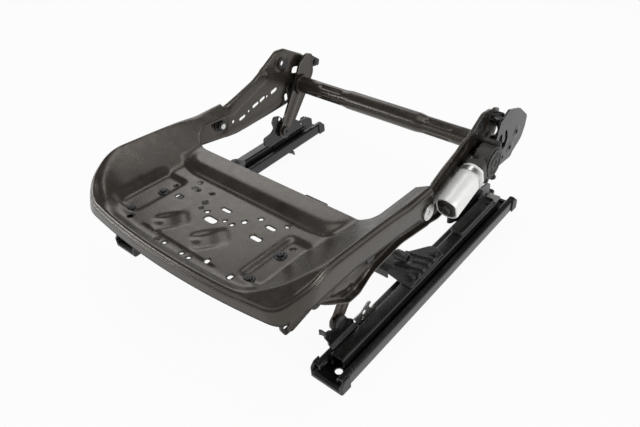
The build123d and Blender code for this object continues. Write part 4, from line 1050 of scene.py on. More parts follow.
MEMBER_BORES = [(RECLINER_BOLT, 6.0), (PAN_PIVOT, 6.0), (TUBE_AXIS, 14.5), (FRONT_UPPER_PIVOT, 5.0)]
FORMED_BAND = [(30, 148), (70, 161), (112, 174)]
LOWER_BEAD = [(12, 111), (60, 108), (150, 109)]
FRONT_BEAD = [(-186, 128), (-150, 116), (-118, 112)]
FLANGE = [(1.5, 0.4), (2.6, 1.5), (3.0, 3.0), (3.0, 5.0), (3.0, 7.2), (3.0, 9.0)]


def member_relief(y, z):
    """Height outward of the bosses and beads that stiffen a side member's web."""
    height = 1.6 * shoulder(np.hypot(y - TUBE_AXIS[0], z - TUBE_AXIS[1]) - 27.0, 5.0)
    height -= 2.2 * shoulder(np.hypot(y - RECLINER_BOLT[0], z - RECLINER_BOLT[1]) - 13.0, 4.0)
    height += 1.4 * ring_height(y, z, PAN_PIVOT, 9.0, 17.0, 3.0)
    height -= 2.0 * shoulder(line_distance(y, z, FORMED_BAND) - 7.5, 2.5)
    height -= 1.3 * shoulder(line_distance(y, z, LOWER_BEAD) - 3.0, 4.0)
    height += 2.0 * shoulder(line_distance(y, z, FRONT_BEAD) - 4.0, 5.0)
    return height - 1.5 * shoulder(np.hypot(y + 160, z - 112) - 3.0, 4.0)


def flange_reach(y, z):
    """The flange is lower along the top, at the rear for the backrest and ahead for the pan's rim."""
    return np.where(z > 145, np.where(y > 20, 0.5, 0.6), 1.0)


def make_side_member(side, word):
    """Web and flanges of one member. Its nose follows the pan's round corner and stays inside it."""
    outline = spaced(rounded_path(MEMBER_OUTLINE, MEMBER_BENDS), 3.0)
    loop = offset_loop(outline, -5.0)
    holes = [long_hole(a, b, r) if a != b else round_hole(*a, r) for a, b, r in MEMBER_HOLES]
    holes += [round_hole(*centre, radius, 28) for centre, radius in MEMBER_BORES]
    middle = (PAN_HALF - 1.0 - NOSE_CORNER, NOSE_FRONT + NOSE_CORNER)

    def place(y, z, height):
        ahead = np.clip(middle[1] - y, 0.0, NOSE_CORNER - 1.0)
        limit = middle[0] + np.sqrt(NOSE_CORNER**2 - ahead**2) - 0.8
        return np.column_stack([side * np.minimum(WEB + height, limit), y, z])

    piece = sheet_piece(
        "side_member_pressing_" + word, loop, holes, place, (side, 0, 0), WEB_SHEET, "cushion_frame",
        "frame_coat", relief=member_relief, turned=FLANGE, reach=flange_reach,
    )
    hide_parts("side_member_" + word)


# Lift linkage

LINK_OUTER = 195.0
LINK_SHEET = 4.0
LINK_END = 12.0
LINK_BORE = 5.1
REAR_LINK_ENDS = (14.0, 20.0)
BRACKET_OUTER = 200.0
BRACKET_SHEET = 3.0
BRACKET_FOOT = 23.0
BRACKET_BORE = 5.0


def flank_points(lower, upper, low, high):
    """Corners of a link's outline at its lower end and where its flanks reach the upper end."""
    along = np.subtract(upper, lower) / np.hypot(*np.subtract(upper, lower))
    left = np.array((-along[1], along[0]))
    lower, upper = np.array(lower), np.array(upper)
    end = lower - along * low
    return end + left * low, upper + left * high, upper - left * high, end - left * low, along


def make_front_link(side, word):
    """Straight arm with round ends, pressed in along its rim and along its middle."""
    corners = flank_points(FRONT_PIVOT, FRONT_UPPER_PIVOT, LINK_END, LINK_END)
    low_left, high_left, high_right, low_right, along = corners
    ends = [low_left, high_left + along * LINK_END, high_right + along * LINK_END, low_right]
    outline = rounded_path(ends, LINK_END - 0.1)
    middle = [np.array(FRONT_PIVOT) + along * 22.0, np.array(FRONT_UPPER_PIVOT) - along * 22.0]
    rim = spaced(outline, 2.2)

    def relief(y, z):
        edge = shoulder(nearest(np.column_stack([y, z]), rim) - 1.0, 2.0)
        return -0.8 * edge - 1.2 * shoulder(line_distance(y, z, middle) - 2.0, 3.0)

    holes = [round_hole(*pivot, LINK_BORE, 24) for pivot in (FRONT_PIVOT, FRONT_UPPER_PIVOT)]
    piece = plate(
        "front_lift_arm_" + word, outline, holes, LINK_OUTER, LINK_SHEET, "front_link_" + word,
        "frame_coat", side=side, pitch=2.2, relief=relief,
    )
    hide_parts("front_link_" + word)


def make_rear_link(side, word):
    """Arm from the rear pivot to the torque tube, with a head above it inside the side member."""
    low_left, high_left, _, low_right, _ = flank_points(REAR_PIVOT, TUBE_AXIS, *REAR_LINK_ENDS)
    y, z = TUBE_AXIS
    head = [(y - 2, z + 40), (y + 20, z + 54), (y + 36, z + 48), (y + 34, z + 12), (y + 16, z - 14)]
    outline = rounded_path([low_left, high_left, *head, low_right], [13, 20, 8, 8, 8, 20, 14, 13])
    rim = spaced(outline, 2.6)
    middle = [(150, 68), (184, 113)]

    def relief(u, v):
        height = -1.0 * shoulder(nearest(np.column_stack([u, v]), rim) - 1.5, 2.5)
        height += 1.0 * ring_height(u, v, TUBE_AXIS, 14.0, 18.0)
        return height - 1.6 * shoulder(line_distance(u, v, middle) - 3.0, 4.0)

    holes = [round_hole(*REAR_PIVOT, LINK_BORE, 24), round_hole(*TUBE_AXIS, TUBE_JOURNAL, 32)]
    piece = plate(
        "rear_lift_arm_" + word, outline, holes, LINK_OUTER, LINK_SHEET, "rear_lift", "frame_coat",
        side=side, pitch=2.6, relief=relief,
    )
    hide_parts("rear_link_" + word)


def stepped(z, y, rear=400.0):
    """How far a link bracket steps outward below its plate, to its foot on the upper rail's wall."""
    return 6.0 * shoulder(z - 30.0, 6.5) * shoulder(y - rear, 10.0)


def make_front_bracket(side, word):
    """Foot of a front link on the upper rail, with a hooked ear ahead and a bent tab."""
    y, z = FRONT_PIVOT
    outline = rounded_path(
        [
            (y - 24, BRACKET_FOOT), (y - 25, z - 14), (y - 31, z), (y - 28, z + 8), (y - 21, z + 6),
            (y - 15, z - 1), (y - 13, z + 11), (y - 4, z + 16), (y + 8, z + 10), (y + 14, z - 2),
            (y + 25, z - 13), (y + 27, BRACKET_FOOT),
        ],
        [1, 5, 3, 3, 3, 3, 5, 7, 6, 6, 4, 1],
        step=1.0,
    )
    holes = [
        round_hole(*FRONT_PIVOT, BRACKET_BORE, 24),
        round_hole(y - 24, z - 2, 2.0, 14),
        round_hole(y + 17, z - 11, 2.2, 14),
    ]

    def relief(u, v):
        return stepped(v, u) + 1.2 * ring_height(u, v, FRONT_PIVOT, 6.0, 9.0, 1.5)

    piece = plate(
        "front_pivot_bracket_" + word, outline, holes, BRACKET_OUTER, BRACKET_SHEET, "track", "rail_coat",
        side=side, pitch=2.0, relief=relief,
    )
    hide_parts("front_link_bracket_" + word)
    turn = bent([(199, y - 28), (190.5, y - 28), (188, y - 29.5)], [0, 2, 0])
    path = np.column_stack([side * turn[:, 0], turn[:, 1], np.full(len(turn), z - 2)])
    strip("front_bracket_tab_" + word, path, (0, 0, 9), 1.6, "track", "rail_coat", (0, -1, 0))


def make_rear_bracket(side, word):
    """Foot of a rear link on the upper rail, with an ear ahead, a raised stop and a tail to the rear."""
    y, z = REAR_PIVOT
    outline = rounded_path(
        [
            (y - 24, BRACKET_FOOT), (y - 26, z - 21), (y - 40, z - 17), (y - 52, z - 10), (y - 52, z + 5),
            (y - 30, z + 8), (y - 23, z + 14), (y - 26, z + 28), (y - 19, z + 37), (y - 6, z + 33),
            (y + 10, z + 17), (y + 36, z + 7), (y + 47, z - 3), (y + 74, z - 7), (y + 83, z - 14),
            (y + 83, z - 32), (y + 66, z - 30), (y + 62, BRACKET_FOOT),
        ],
        [1, 3, 4, 4, 4, 6, 4, 5, 5, 5, 12, 10, 6, 6, 3, 3, 3, 1],
        step=1.0,
    )
    holes = [
        round_hole(*REAR_PIVOT, BRACKET_BORE, 24),
        round_hole(y - 5, z + 26, 4.0, 18),
        round_hole(y + 52, z - 12, 2.6, 14),
    ]

    def relief(u, v):
        return stepped(v, u, 196.0) + 1.2 * ring_height(u, v, REAR_PIVOT, 6.0, 10.0, 1.5)

    piece = plate(
        "rear_pivot_bracket_" + word, outline, holes, BRACKET_OUTER, BRACKET_SHEET, "track", "rail_coat",
        side=side, pitch=2.4, relief=relief,
    )
    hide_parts("rear_link_bracket_" + word)


TUBE_REACH = 214.0
TUBE_JOURNAL = 12.0
TUBE_WALL = 2.5
TUBE_COLLAR = (187.0, 187.1, 190.9, 191.0)
TUBE_RADII = [
    (0, 16.5), (72, 16.5), (86, 14.8), (142, 14.8), (152, 15), (187.0, 15), (187.1, 18), (190.9, 18),
    (191.0, TUBE_JOURNAL), (TUBE_REACH, TUBE_JOURNAL),
]
FLUTE_MIDDLE = 114
FLUTE_HALF_LENGTH = 19.0
FLUTE_DEPTH = 3.4


def make_torque_tube():
    """Drawn tube between the rear links, whose two crushed lengths carry four flutes each."""
    edges = [side * at for side in (-1, 1) for at in TUBE_COLLAR]
    stations = np.unique(np.round(np.r_[np.arange(-TUBE_REACH, TUBE_REACH + 1, 2.5), edges], 2))
    count = 64
    turns = np.arange(count) * 2 * pi / count
    rows = []
    for x in stations:
        radius = np.interp(abs(x), *zip(*TUBE_RADII))
        crush = shoulder(abs(abs(x) - FLUTE_MIDDLE) - FLUTE_HALF_LENGTH, 9.0)
        flute = np.maximum(np.cos(4 * (turns - 0.5)), 0.0) ** 1.5
        radii = radius - FLUTE_DEPTH * crush * flute
        rows.append(np.column_stack([np.full(count, x), radii * np.cos(turns), radii * np.sin(turns)]))
    for x in (TUBE_REACH, -TUBE_REACH):
        bore = TUBE_JOURNAL - TUBE_WALL
        rows.append(np.column_stack([np.full(count, x), bore * np.cos(turns), bore * np.sin(turns)]))
    points = np.vstack(rows) + (0, *TUBE_AXIS)
    faces = ring_faces(len(rows), count, closed=True)
    piece = make_piece("fluted_torque_tube", points, faces, "rear_lift", "frame_coat")
    make_solid_normals(piece)
    sharpen(piece, 50.0)
    ease_edges(piece, 0.4, 2, 60.0)
    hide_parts("torque_tube")


# Lift motor and its gears

GEAR_DISTANCE = 58.0
GEAR_BEARING = radians(168)
PINION_AXIS = (
    TUBE_AXIS[0] + GEAR_DISTANCE * cos(GEAR_BEARING),
    TUBE_AXIS[1] + GEAR_DISTANCE * sin(GEAR_BEARING),
)
MOTOR_SLOPE = radians(15.5)
MOTOR_X = 226.5
MOTOR_RADIUS = 19.5
MOTOR_FLAT = 16.5
MOTOR_LENGTH = 71.0
MOTOR_NECK = 38.0
MOTOR_OFFSET = 12.5
CAN_RINGS = [
    (-3.6, 0), (-3.6, 11), (-2.4, 12), (-2.4, 15.6), (-3.4, 16.8), (-4.0, 18.2), (-3.4, 19.1),
    (-2.0, 19.5), (8, 19.5), (20, 19.5), (34, 19.5), (48, 19.5), (60.0, 19.5), (60.6, 19.1),
    (61.6, 19.1), (62.2, 19.5), (68.6, 19.5), (70.4, 19.0), (71.0, 17.6), (71.0, 0),
]
CAP_RINGS = [
    (-2.0, 0), (-2.0, 15.4), (-4.4, 15.2), (-5.0, 14.0), (-5.0, 10.0), (-4.2, 9.2), (-4.2, 7.8),
    (-7.6, 7.2), (-8.8, 6.0), (-9.2, 3.4), (-8.0, 2.6), (-8.0, 0),
]
COVER_FACE = 237.0
COVER_RINGS = [
    (21.8, 0.0, 1.2), (21.8, 1.6, 1.2), (20.2, 2.0, 0.6), (17.6, 2.0, 0), (16.6, 0.7, 0),
    (9.6, 0.7, 0), (8.8, 2.0, 0), (6.0, 2.0, 0), (5.4, 0.8, 0), (2.4, 0.8, 0),
]
GUARD_FACE = 225.0
GUARD_CUT_RADIUS = 27.5
GUARD_OUTLINE = [
    (174, 186), (200, 198), (238, 184), (269, 158), (267, 140), (258, 122), (233, 110), (226, 103),
    (190, 106), (166, 116),
]
GUARD_BENDS = [6, 10, 14, 8, 10, 16, 4, 6, 14, 8]
WINDOW_OUTLINE = [
    (176, 164), (175, 141), (185, 133), (200, 134), (206, 148), (200, 166), (194, 164), (197, 149),
    (191, 145), (186, 152), (186, 166),
]
WINDOW_BENDS = [4, 6, 5, 6, 8, 3, 2, 4, 4, 5, 4]
GUARD_POSTS = [(186, 184), (232, 152), (226, 124)]
POST_RINGS = [
    (204, 0), (204, 5.5), (205, 5.0), (220.6, 5.0), (221.6, 6.2), (222.0, 6.2), (222.0, 0),
]


def along_motor(distance, a, b):
    """Places a ring about the motor's axis, which climbs to the rear, with the can's flats at its sides."""
    c, s = cos(MOTOR_SLOPE), sin(MOTOR_SLOPE)
    run = distance - MOTOR_LENGTH - MOTOR_NECK
    y0 = PINION_AXIS[0] - MOTOR_OFFSET * s + run * c
    z0 = PINION_AXIS[1] + MOTOR_OFFSET * c + run * s
    radius = max(np.hypot(a, b).max(), 1e-9)
    flat = MOTOR_FLAT * min(1.0, radius / MOTOR_RADIUS) if radius > 13.0 else radius
    a = np.clip(a, -flat, flat)
    return [(MOTOR_X + u, y0 - s * v, z0 + c * v) for u, v in zip(a, b)]


def make_lift_motor():
    """Bright can with flats at its sides, and the black cap at its front end."""
    piece = turned_piece("lift_motor_can", CAN_RINGS, along_motor, "cushion_frame", "motor_steel", 72)
    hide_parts("lift_motor")
    piece = turned_piece("lift_motor_end_cap", CAP_RINGS, along_motor, "cushion_frame", "motor_plastic", 48)
    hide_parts("lift_motor_cap")


def make_gear_cover():
    """Ribbed cover of the worm wheel, with a serrated rim."""
    y, z = PINION_AXIS
    count = 144
    turns = np.arange(count) * 2 * pi / count
    tooth = 0.5 + 0.5 * np.sign(np.sin(turns * 24))
    rings = []
    for radius, rise, cut in COVER_RINGS:
        spoke = np.maximum(np.cos(turns * 6), 0.0) ** 6 * 1.3 * (9.0 < radius < 17.0)
        reach = radius - cut * tooth
        across_y, across_z = reach * np.cos(turns), reach * np.sin(turns)
        rings.append(np.column_stack([COVER_FACE + rise + spoke, y + across_y, z + across_z]))
    points = np.vstack(rings + [[(COVER_FACE + 0.8, y, z)], [(COVER_FACE, y, z)]])
    faces = ring_faces(len(rings), count)
    last, top, bottom = (len(rings) - 1) * count, len(points) - 2, len(points) - 1
    for n in range(count):
        m = (n + 1) % count
        faces += [(last + n, last + m, top), (m, n, bottom)]
    piece = make_piece("worm_wheel_cover", points, faces, "cushion_frame", "motor_plastic")
    make_solid_normals(piece)
    sharpen(piece, 35.0)
    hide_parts("lift_gear_cover")


def make_outer_plate():
    """Black plate outboard of the gears, with a curved window whose finger holds the cable."""
    y, z = PINION_AXIS
    turns = np.linspace(radians(28), radians(-33), 14)
    cut = [(y + GUARD_CUT_RADIUS * cos(turn), z + GUARD_CUT_RADIUS * sin(turn)) for turn in turns]
    outline = rounded_path(GUARD_OUTLINE, GUARD_BENDS, step=1.5)
    outline = np.vstack([outline, cut[::-1]])
    holes = [
        rounded_path(WINDOW_OUTLINE, WINDOW_BENDS, step=1.0),
        round_hole(235, 144, 3.6),
        round_hole(218, 124, 3.8),
        long_hole((192, 117.5), (197, 117.5), 2.8),
    ]

    def relief(y, z):
        height = 0.8 * ring_height(y, z, (235, 144), 5.0, 7.5, 1.5)
        return height + 0.8 * ring_height(y, z, (218, 124), 5.0, 8.0, 1.5)

    piece = plate(
        "gear_guard_plate", outline, holes, GUARD_FACE, 3.0, "cushion_frame", "rail_coat", pitch=2.6,
        relief=relief,
    )
    for index, middle in enumerate(GUARD_POSTS):
        turned_piece(f"guard_post_{index}", POST_RINGS, along_x(middle), "cushion_frame", "rail_coat", 28)
    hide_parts("rear_outer_plate")


# What the upper rails carry

UPPER_TOP = 33.0
RAIL_X = 216.5
CRADLE_TOP = UPPER_TOP + 3.0
CRADLE_SCREWS = [(RAIL_X, -36.0), (RAIL_X, 24.0)]
CRADLE_OUTLINE = [
    (223.9, -50.4), (212.6, -50.4), (179.6, -44.6), (179.6, 5.4), (201.6, 39.0), (223.9, 34.6),
]
CRADLE_TURN = [(0.9, -0.25), (1.5, -0.9), (1.6, -2.8)]
BOSS_RINGS = [(178, 0), (178, 7.2), (179, 7.8), (196, 7.8), (198, 6.4), (198, 4.8), (190, 4.8), (190, 0)]
TRAY_LEVEL = 36.4
TRAY_OUTLINE = [(207.7, 87.2), (222.8, 87.2), (222.8, 186.8), (207.7, 186.8)]
TRAY_RIM = [(0.5, 0.3), (0.8, 1.0), (0.9, 2.8), (1.2, 3.4), (2.2, 3.6), (2.9, 3.2), (3.2, 2.4), (3.2, -3.2)]
CLIP_OUTLINE = [
    (-146, 26), (-146, 33), (-157, 51), (-140, 50), (-124, 58), (-118, 52), (-124, 48), (-119, 40),
    (-113, 40), (-109, 32), (-114, 26),
]
CLIP_BENDS = [1, 2, 1, 6, 3, 1.5, 2, 3, 2, 2, 1]
HARNESS_OUTLINE = [(207, 150), (207, 175), (229, 179), (263, 153), (260, 142), (238, 146)]


def make_gearbox_bracket(side, word):
    """Ribbed moulding over a slide gearbox, with a pad round each of its screws."""
    loop = spaced(rounded_path(CRADLE_OUTLINE, [1, 3, 5, 7, 7, 3], step=0.8), 1.8)

    def relief(x, y):
        lean = y - 0.25 * (x - 200.0)
        ribs = sum(shoulder(abs(lean - place) - 1.4, 2.4) for place in (-31.0, -19.0, -5.0, 8.0))
        window = shoulder(180.5 - x, 4.0) * shoulder(x - 221.0, 3.0)
        height = 4.2 * np.minimum(ribs, 1.0) * window
        hump = 6.0 * shoulder(np.hypot((x - 190.0) / 9.0, (y + 12.0) / 10.0) - 0.6, 0.7)
        height = np.maximum(height, hump)
        for centre in CRADLE_SCREWS:
            pad = shoulder(np.hypot(x - centre[0], y - centre[1]) - 8.5, 2.5)
            height = height * (1 - pad) + 0.6 * pad
            height = height + 1.4 * ring_height(x, y, centre, 7.5, 9.0, 1.2)
        return height

    holes = [round_hole(x, y, 3.2, 18) for x, y in CRADLE_SCREWS]
    piece = sheet_piece(
        "gearbox_cradle_" + word, loop, holes, level(CRADLE_TOP, side), (0, 0, 1), 2.2, "track",
        "cap_plastic", relief=relief, turned=CRADLE_TURN, pitch=1.8,
    )
    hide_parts("gearbox_bracket_" + word)
    turned_piece("drive_boss_" + word, BOSS_RINGS, along_x((-20, 51), side), "track", "cap_plastic", 32)


def make_track_cover():
    """Open moulded tray on the rear of the right track."""
    loop = spaced(rounded_path(TRAY_OUTLINE, [5, 1.5, 1, 1], step=0.8), 1.8)
    holes = [round_hole(RAIL_X + 3, 176.0, 2.5, 16)]

    def relief(x, y):
        return 0.5 * shoulder(abs(y - 128.0) - 0.6, 1.0) + 0.5 * shoulder(abs(y - 160.0) - 0.6, 1.0)

    piece = sheet_piece(
        "track_tray", loop, holes, level(TRAY_LEVEL, 1), (0, 0, 1), 1.2, "track", "cap_plastic",
        relief=relief, turned=TRAY_RIM, pitch=2.2,
    )
    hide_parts("track_cover")


def make_cable_bracket():
    """Small clip for the cable, with a forked head, on the right upper rail."""
    outline = rounded_path(CLIP_OUTLINE, CLIP_BENDS, step=0.8)
    holes = [round_hole(-134, 45, 3.4), round_hole(-138, 37, 2.4)]
    piece = plate("cable_clip_plate", outline, holes, 206.0, 1.5, "track", "zinc", pitch=1.8)
    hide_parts("cable_bracket")


def make_harness_plate():
    """Plate for the wiring harness at the rear of the left side member, with two formed ears."""
    outline = rounded_path(HARNESS_OUTLINE, [3, 4, 6, 4, 4, 5], step=0.8)
    holes = [round_hole(226, 167, 3.5), round_hole(251, 151, 3.0)]

    def relief(y, z):
        bead = shoulder(line_distance(y, z, [(214, 158), (240, 162)]) - 1.5, 2.0)
        return -1.2 * bead - 0.8 * ring_height(y, z, (226, 167), 4.5, 7.0, 1.2)

    piece = plate(
        "harness_plate", outline, holes, 202.0, 1.6, "cushion_frame", "rail_coat", side=-1, pitch=1.8,
        relief=relief,
    )
    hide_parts("harness_bracket")


# Rails and their caps


def sheet_section(middle, bends, sheet):
    """Closed outline of a folded sheet whose middle runs along a path."""
    path = bent(middle, bends, 0.6)
    run = np.gradient(path, axis=0)
    run /= np.hypot(*run.T)[:, None]
    out = np.column_stack([-run[:, 1], run[:, 0]]) * sheet / 2
    return np.vstack([path + out, (path - out)[::-1]])


def extruded(name, section, start, end, place, body, slot):
    """A section swept between two stations and closed at both ends."""
    stations = np.linspace(start, end, 8)
    _, caps = filled(section, [], 40.0)
    count = len(section)
    points = np.vstack([place(section[:, 0], section[:, 1], station) for station in stations])
    faces = ring_faces(len(stations), count)
    last = (len(stations) - 1) * count
    faces += [tuple(face) for face in caps] + [tuple(last + n for n in face) for face in caps]
    piece = make_piece(name, points, faces, body, slot)
    make_solid_normals(piece)
    sharpen(piece, SOLID_ANGLE)
    ease_edges(piece, 0.35, 2, 50.0)
    return piece


def make_upper_rail(side, word):
    """Folded channel with a wing along each lower edge."""
    wall, wing, top, foot = 9.5, 18.5, UPPER_TOP - 1.0, 9.6
    half = [(-wing, foot + 8.0), (-wing, foot), (-wall, foot), (-wall, top)]
    middle = half + [(-x, z) for x, z in reversed(half)]
    section = sheet_section(middle, [0, 2.5, 2.5, 3.0, 3.0, 2.5, 2.5, 0], 2.0)

    def place(x, z, y):
        return np.column_stack([side * RAIL_X + x, np.full(len(x), y), z])

    piece = extruded("upper_track_" + word, section, -206.0, 202.0, place, "track", "rail_coat")
    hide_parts("upper_rail_" + word)


# Fasteners, made by Geometry Nodes


class Modelling(Wiring):
    """Geometry node helpers."""

    def disc(self, sides, radius, depth, lift, top=1.0):
        """A prism standing on the height lift, whose upper end is scaled by top."""
        cone = self.node("GeometryNodeMeshCone", fill_type="NGON")
        cone.inputs["Vertices"].default_value = sides
        self.feed(cone.inputs["Radius Bottom"], radius)
        self.feed(cone.inputs["Radius Top"], self.math("MULTIPLY", radius, top))
        self.feed(cone.inputs["Depth"], depth)
        move = self.node("GeometryNodeTransform")
        self.feed(move.inputs["Geometry"], cone.outputs["Mesh"])
        rise = self.node("ShaderNodeCombineXYZ")
        self.feed(rise.inputs["Z"], lift)
        self.feed(move.inputs["Translation"], rise.outputs[0])
        return move.outputs[0]


FASTENER_SIZES = [
    ("Flange Radius", 0.009), ("Flange Height", 0.0018), ("Head Radius", 0.0065),
    ("Head Height", 0.0042), ("Nib Radius", 0.002), ("Nib Height", 0.001),
    ("Shank Radius", 0.003), ("Shank Length", 0.012),
]
GEAR_SCREW_CIRCLE = 28.0
GEAR_SCREW_TURNS = (70, 225, 280)


def make_fastener_tree():
    """A flange head on every point: flange, chamfered body and a nib or socket step on top."""
    tree = bpy.data.node_groups.new("fastener heads", "GeometryNodeTree")
    face = tree.interface
    face.new_socket("Geometry", in_out="INPUT", socket_type="NodeSocketGeometry")
    for label, default in FASTENER_SIZES:
        face.new_socket(label, in_out="INPUT", socket_type=FLOAT).default_value = default
    face.new_socket("Head Sides", in_out="INPUT", socket_type="NodeSocketInt").default_value = 6
    face.new_socket("Direction", in_out="INPUT", socket_type="NodeSocketVector")
    face.new_socket("Finish", in_out="INPUT", socket_type="NodeSocketMaterial")
    face.new_socket("Geometry", in_out="OUTPUT", socket_type="NodeSocketGeometry")
    wires = Modelling(tree)
    given = wires.node("NodeGroupInput").outputs
    out = wires.node("NodeGroupOutput").inputs
    flange_top = given["Flange Height"]
    chamfer = wires.math("MULTIPLY", given["Head Height"], 0.25)
    body = wires.math("SUBTRACT", given["Head Height"], chamfer)
    crown = wires.math("ADD", flange_top, body)
    low_end = wires.math("MULTIPLY", given["Shank Length"], -1.0)
    parts = [
        wires.disc(28, given["Flange Radius"], flange_top, 0.0, 0.86),
        wires.disc(6, given["Head Radius"], body, flange_top),
        wires.disc(6, given["Head Radius"], chamfer, crown, 0.84),
        wires.disc(16, given["Nib Radius"], given["Nib Height"], wires.math("ADD", crown, chamfer), 0.8),
        wires.disc(20, given["Shank Radius"], given["Shank Length"], low_end),
    ]
    for made in tree.nodes:
        if made.bl_idname == "GeometryNodeMeshCone" and made.inputs["Vertices"].default_value == 6:
            tree.links.new(given["Head Sides"], made.inputs["Vertices"])
    join = wires.node("GeometryNodeJoinGeometry")
    for part in parts:
        tree.links.new(part, join.inputs[0])
    turn = wires.node("FunctionNodeAlignEulerToVector", {"Vector": given["Direction"]}, axis="Z")
    copies = wires.node("GeometryNodeInstanceOnPoints")
    wires.feed(copies.inputs["Points"], given["Geometry"])
    wires.feed(copies.inputs["Instance"], join.outputs[0])
    wires.feed(copies.inputs["Rotation"], turn.outputs[0])
    real = wires.node("GeometryNodeRealizeInstances", {"Geometry": copies.outputs[0]})
    coat = wires.node("GeometryNodeSetMaterial", {"Geometry": real.outputs[0]})
    wires.feed(coat.inputs["Material"], given["Finish"])
    wires.feed(out["Geometry"], coat.outputs[0])
    return tree


def make_fasteners(tree, node, places, direction, body, slot, **sizes):
    """Screws at places in millimetres, as one plain mesh on one body, for the solids of a node."""
    name = "flanged_" + node
    mesh = bpy.data.meshes.new(name + "_places")
    mesh.from_pydata([tuple(value * MM for value in place) for place in places], [], [])
    seed = bpy.data.objects.new(name + "_places", mesh)
    bpy.context.scene.collection.objects.link(seed)
    heads = seed.modifiers.new("heads", "NODES")
    heads.node_group = tree
    sockets = {item.name: item.identifier for item in tree.interface.items_tree if item.in_out == "INPUT"}
    for label, value in sizes.items():
        label = label.replace("_", " ")
        heads[sockets[label]] = value if label == "Head Sides" else value * MM
    heads[sockets["Direction"]] = direction
    heads[sockets["Finish"]] = FINISHES[slot]
    graph = bpy.context.evaluated_depsgraph_get()
    plain = bpy.data.meshes.new_from_object(seed.evaluated_get(graph), depsgraph=graph)
    bpy.data.objects.remove(seed)
    plain.name = name
    if not plain.materials:
        plain.materials.append(FINISHES[slot])
    piece = bpy.data.objects.new(name, plain)
    bpy.context.scene.collection.objects.link(piece)
    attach(piece, body)
    ease_edges(piece, 0.25, 2, 30.0)
    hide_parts(node)


def dress_fasteners():
    """Screws of the pan, of the gearbox cradles and of the gear cover."""
    tree = make_fastener_tree()
    pads = [(x, y, floor_height(y) - PAD_DEPTH) for x, y in PAN_BOLTS]
    make_fasteners(
        tree, "pan_bolts", pads, (0.0, FLOOR_FALL, 1.0), "pan", "black_screw", Flange_Radius=9.0,
        Flange_Height=2.0, Head_Radius=5.6, Head_Height=2.6, Nib_Radius=2.2, Nib_Height=0.8,
        Shank_Radius=4.0, Shank_Length=9.8,
    )
    tops = [(side * x, y, UPPER_TOP + 3.4) for side in (-1, 1) for x, y in CRADLE_SCREWS]
    make_fasteners(
        tree, "bracket_screws", tops, (0.0, 0.0, 1.0), "track", "black_screw", Flange_Radius=6.5,
        Flange_Height=1.4, Head_Radius=4.6, Head_Height=2.2, Nib_Radius=1.5, Nib_Height=0.6,
        Shank_Radius=3.0, Shank_Length=3.0,
    )
    y, z = PINION_AXIS
    turns = [radians(turn) for turn in GEAR_SCREW_TURNS]
    ring = [
        (COVER_FACE + 0.2, y + GEAR_SCREW_CIRCLE * cos(turn), z + GEAR_SCREW_CIRCLE * sin(turn))
        for turn in turns
    ]
    make_fasteners(
        tree, "lift_gear_screws", ring, (1.0, 0.0, 0.0), "cushion_frame", "black_screw", Flange_Radius=4.5,
        Flange_Height=1.0, Head_Radius=3.6, Head_Height=2.0, Nib_Radius=1.4, Nib_Height=0.4,
        Shank_Radius=2.4, Shank_Length=2.0,
    )


# Studio

FLOOR_SLOPE = -11.25 / 390.0
FLOOR_TOUCH = 0.230
FLOOR_GAP = 0.0002
FLOOR_REACH = 6.0
FLOOR_GLOW = 0.94
WALL_TOP = 0.1
CEILING = 0.5
WALL_LIGHT = 0.85
CEILING_LIGHT = 0.12
CAMERA_BEARING = radians(43.46)
CAMERA_ELEVATION = radians(38.20)
CAMERA_ROLL = radians(-5.0)
CAMERA_PLACE = (0.5432, -0.5582, 0.6417)
SENSOR_WIDTH = 36.0
LENS = 33.75


def make_floor():
    """Pale floor under the rails: their front ends and the hooks behind rest on it."""
    mesh = bpy.data.meshes.new("floor")
    turns = ((-1, -1), (1, -1), (1, 1), (-1, 1))
    corners = [(FLOOR_REACH * right, FLOOR_REACH * back) for right, back in turns]
    points = [(x, y, FLOOR_SLOPE * (y + FLOOR_TOUCH) - FLOOR_GAP) for x, y in corners]
    mesh.from_pydata(points, [], [(0, 1, 2, 3)])
    floor = bpy.data.objects.new("floor", mesh)
    bpy.context.scene.collection.objects.link(floor)
    material = bpy.data.materials.new("studio floor")
    material.use_nodes = True
    material.node_tree.nodes.clear()
    wires = Wiring(material.node_tree)
    path = wires.node("ShaderNodeLightPath").outputs
    seen = wires.math("MAXIMUM", path["Is Camera Ray"], path["Is Glossy Ray"])
    seen = wires.math("MAXIMUM", seen, path["Is Transmission Ray"])
    paper = wires.node("ShaderNodeBsdfDiffuse", {"Color": (0.8, 0.8, 0.8, 1)})
    glow = wires.node("ShaderNodeEmission", {"Color": (1, 1, 1, 1), "Strength": 1.0})
    mix = wires.node("ShaderNodeMixShader", {0: wires.math("MULTIPLY", seen, FLOOR_GLOW)})
    wires.feed(mix.inputs[1], paper.outputs[0])
    wires.feed(mix.inputs[2], glow.outputs[0])
    wires.feed(wires.node("ShaderNodeOutputMaterial").inputs["Surface"], mix.outputs[0])
    mesh.materials.append(material)


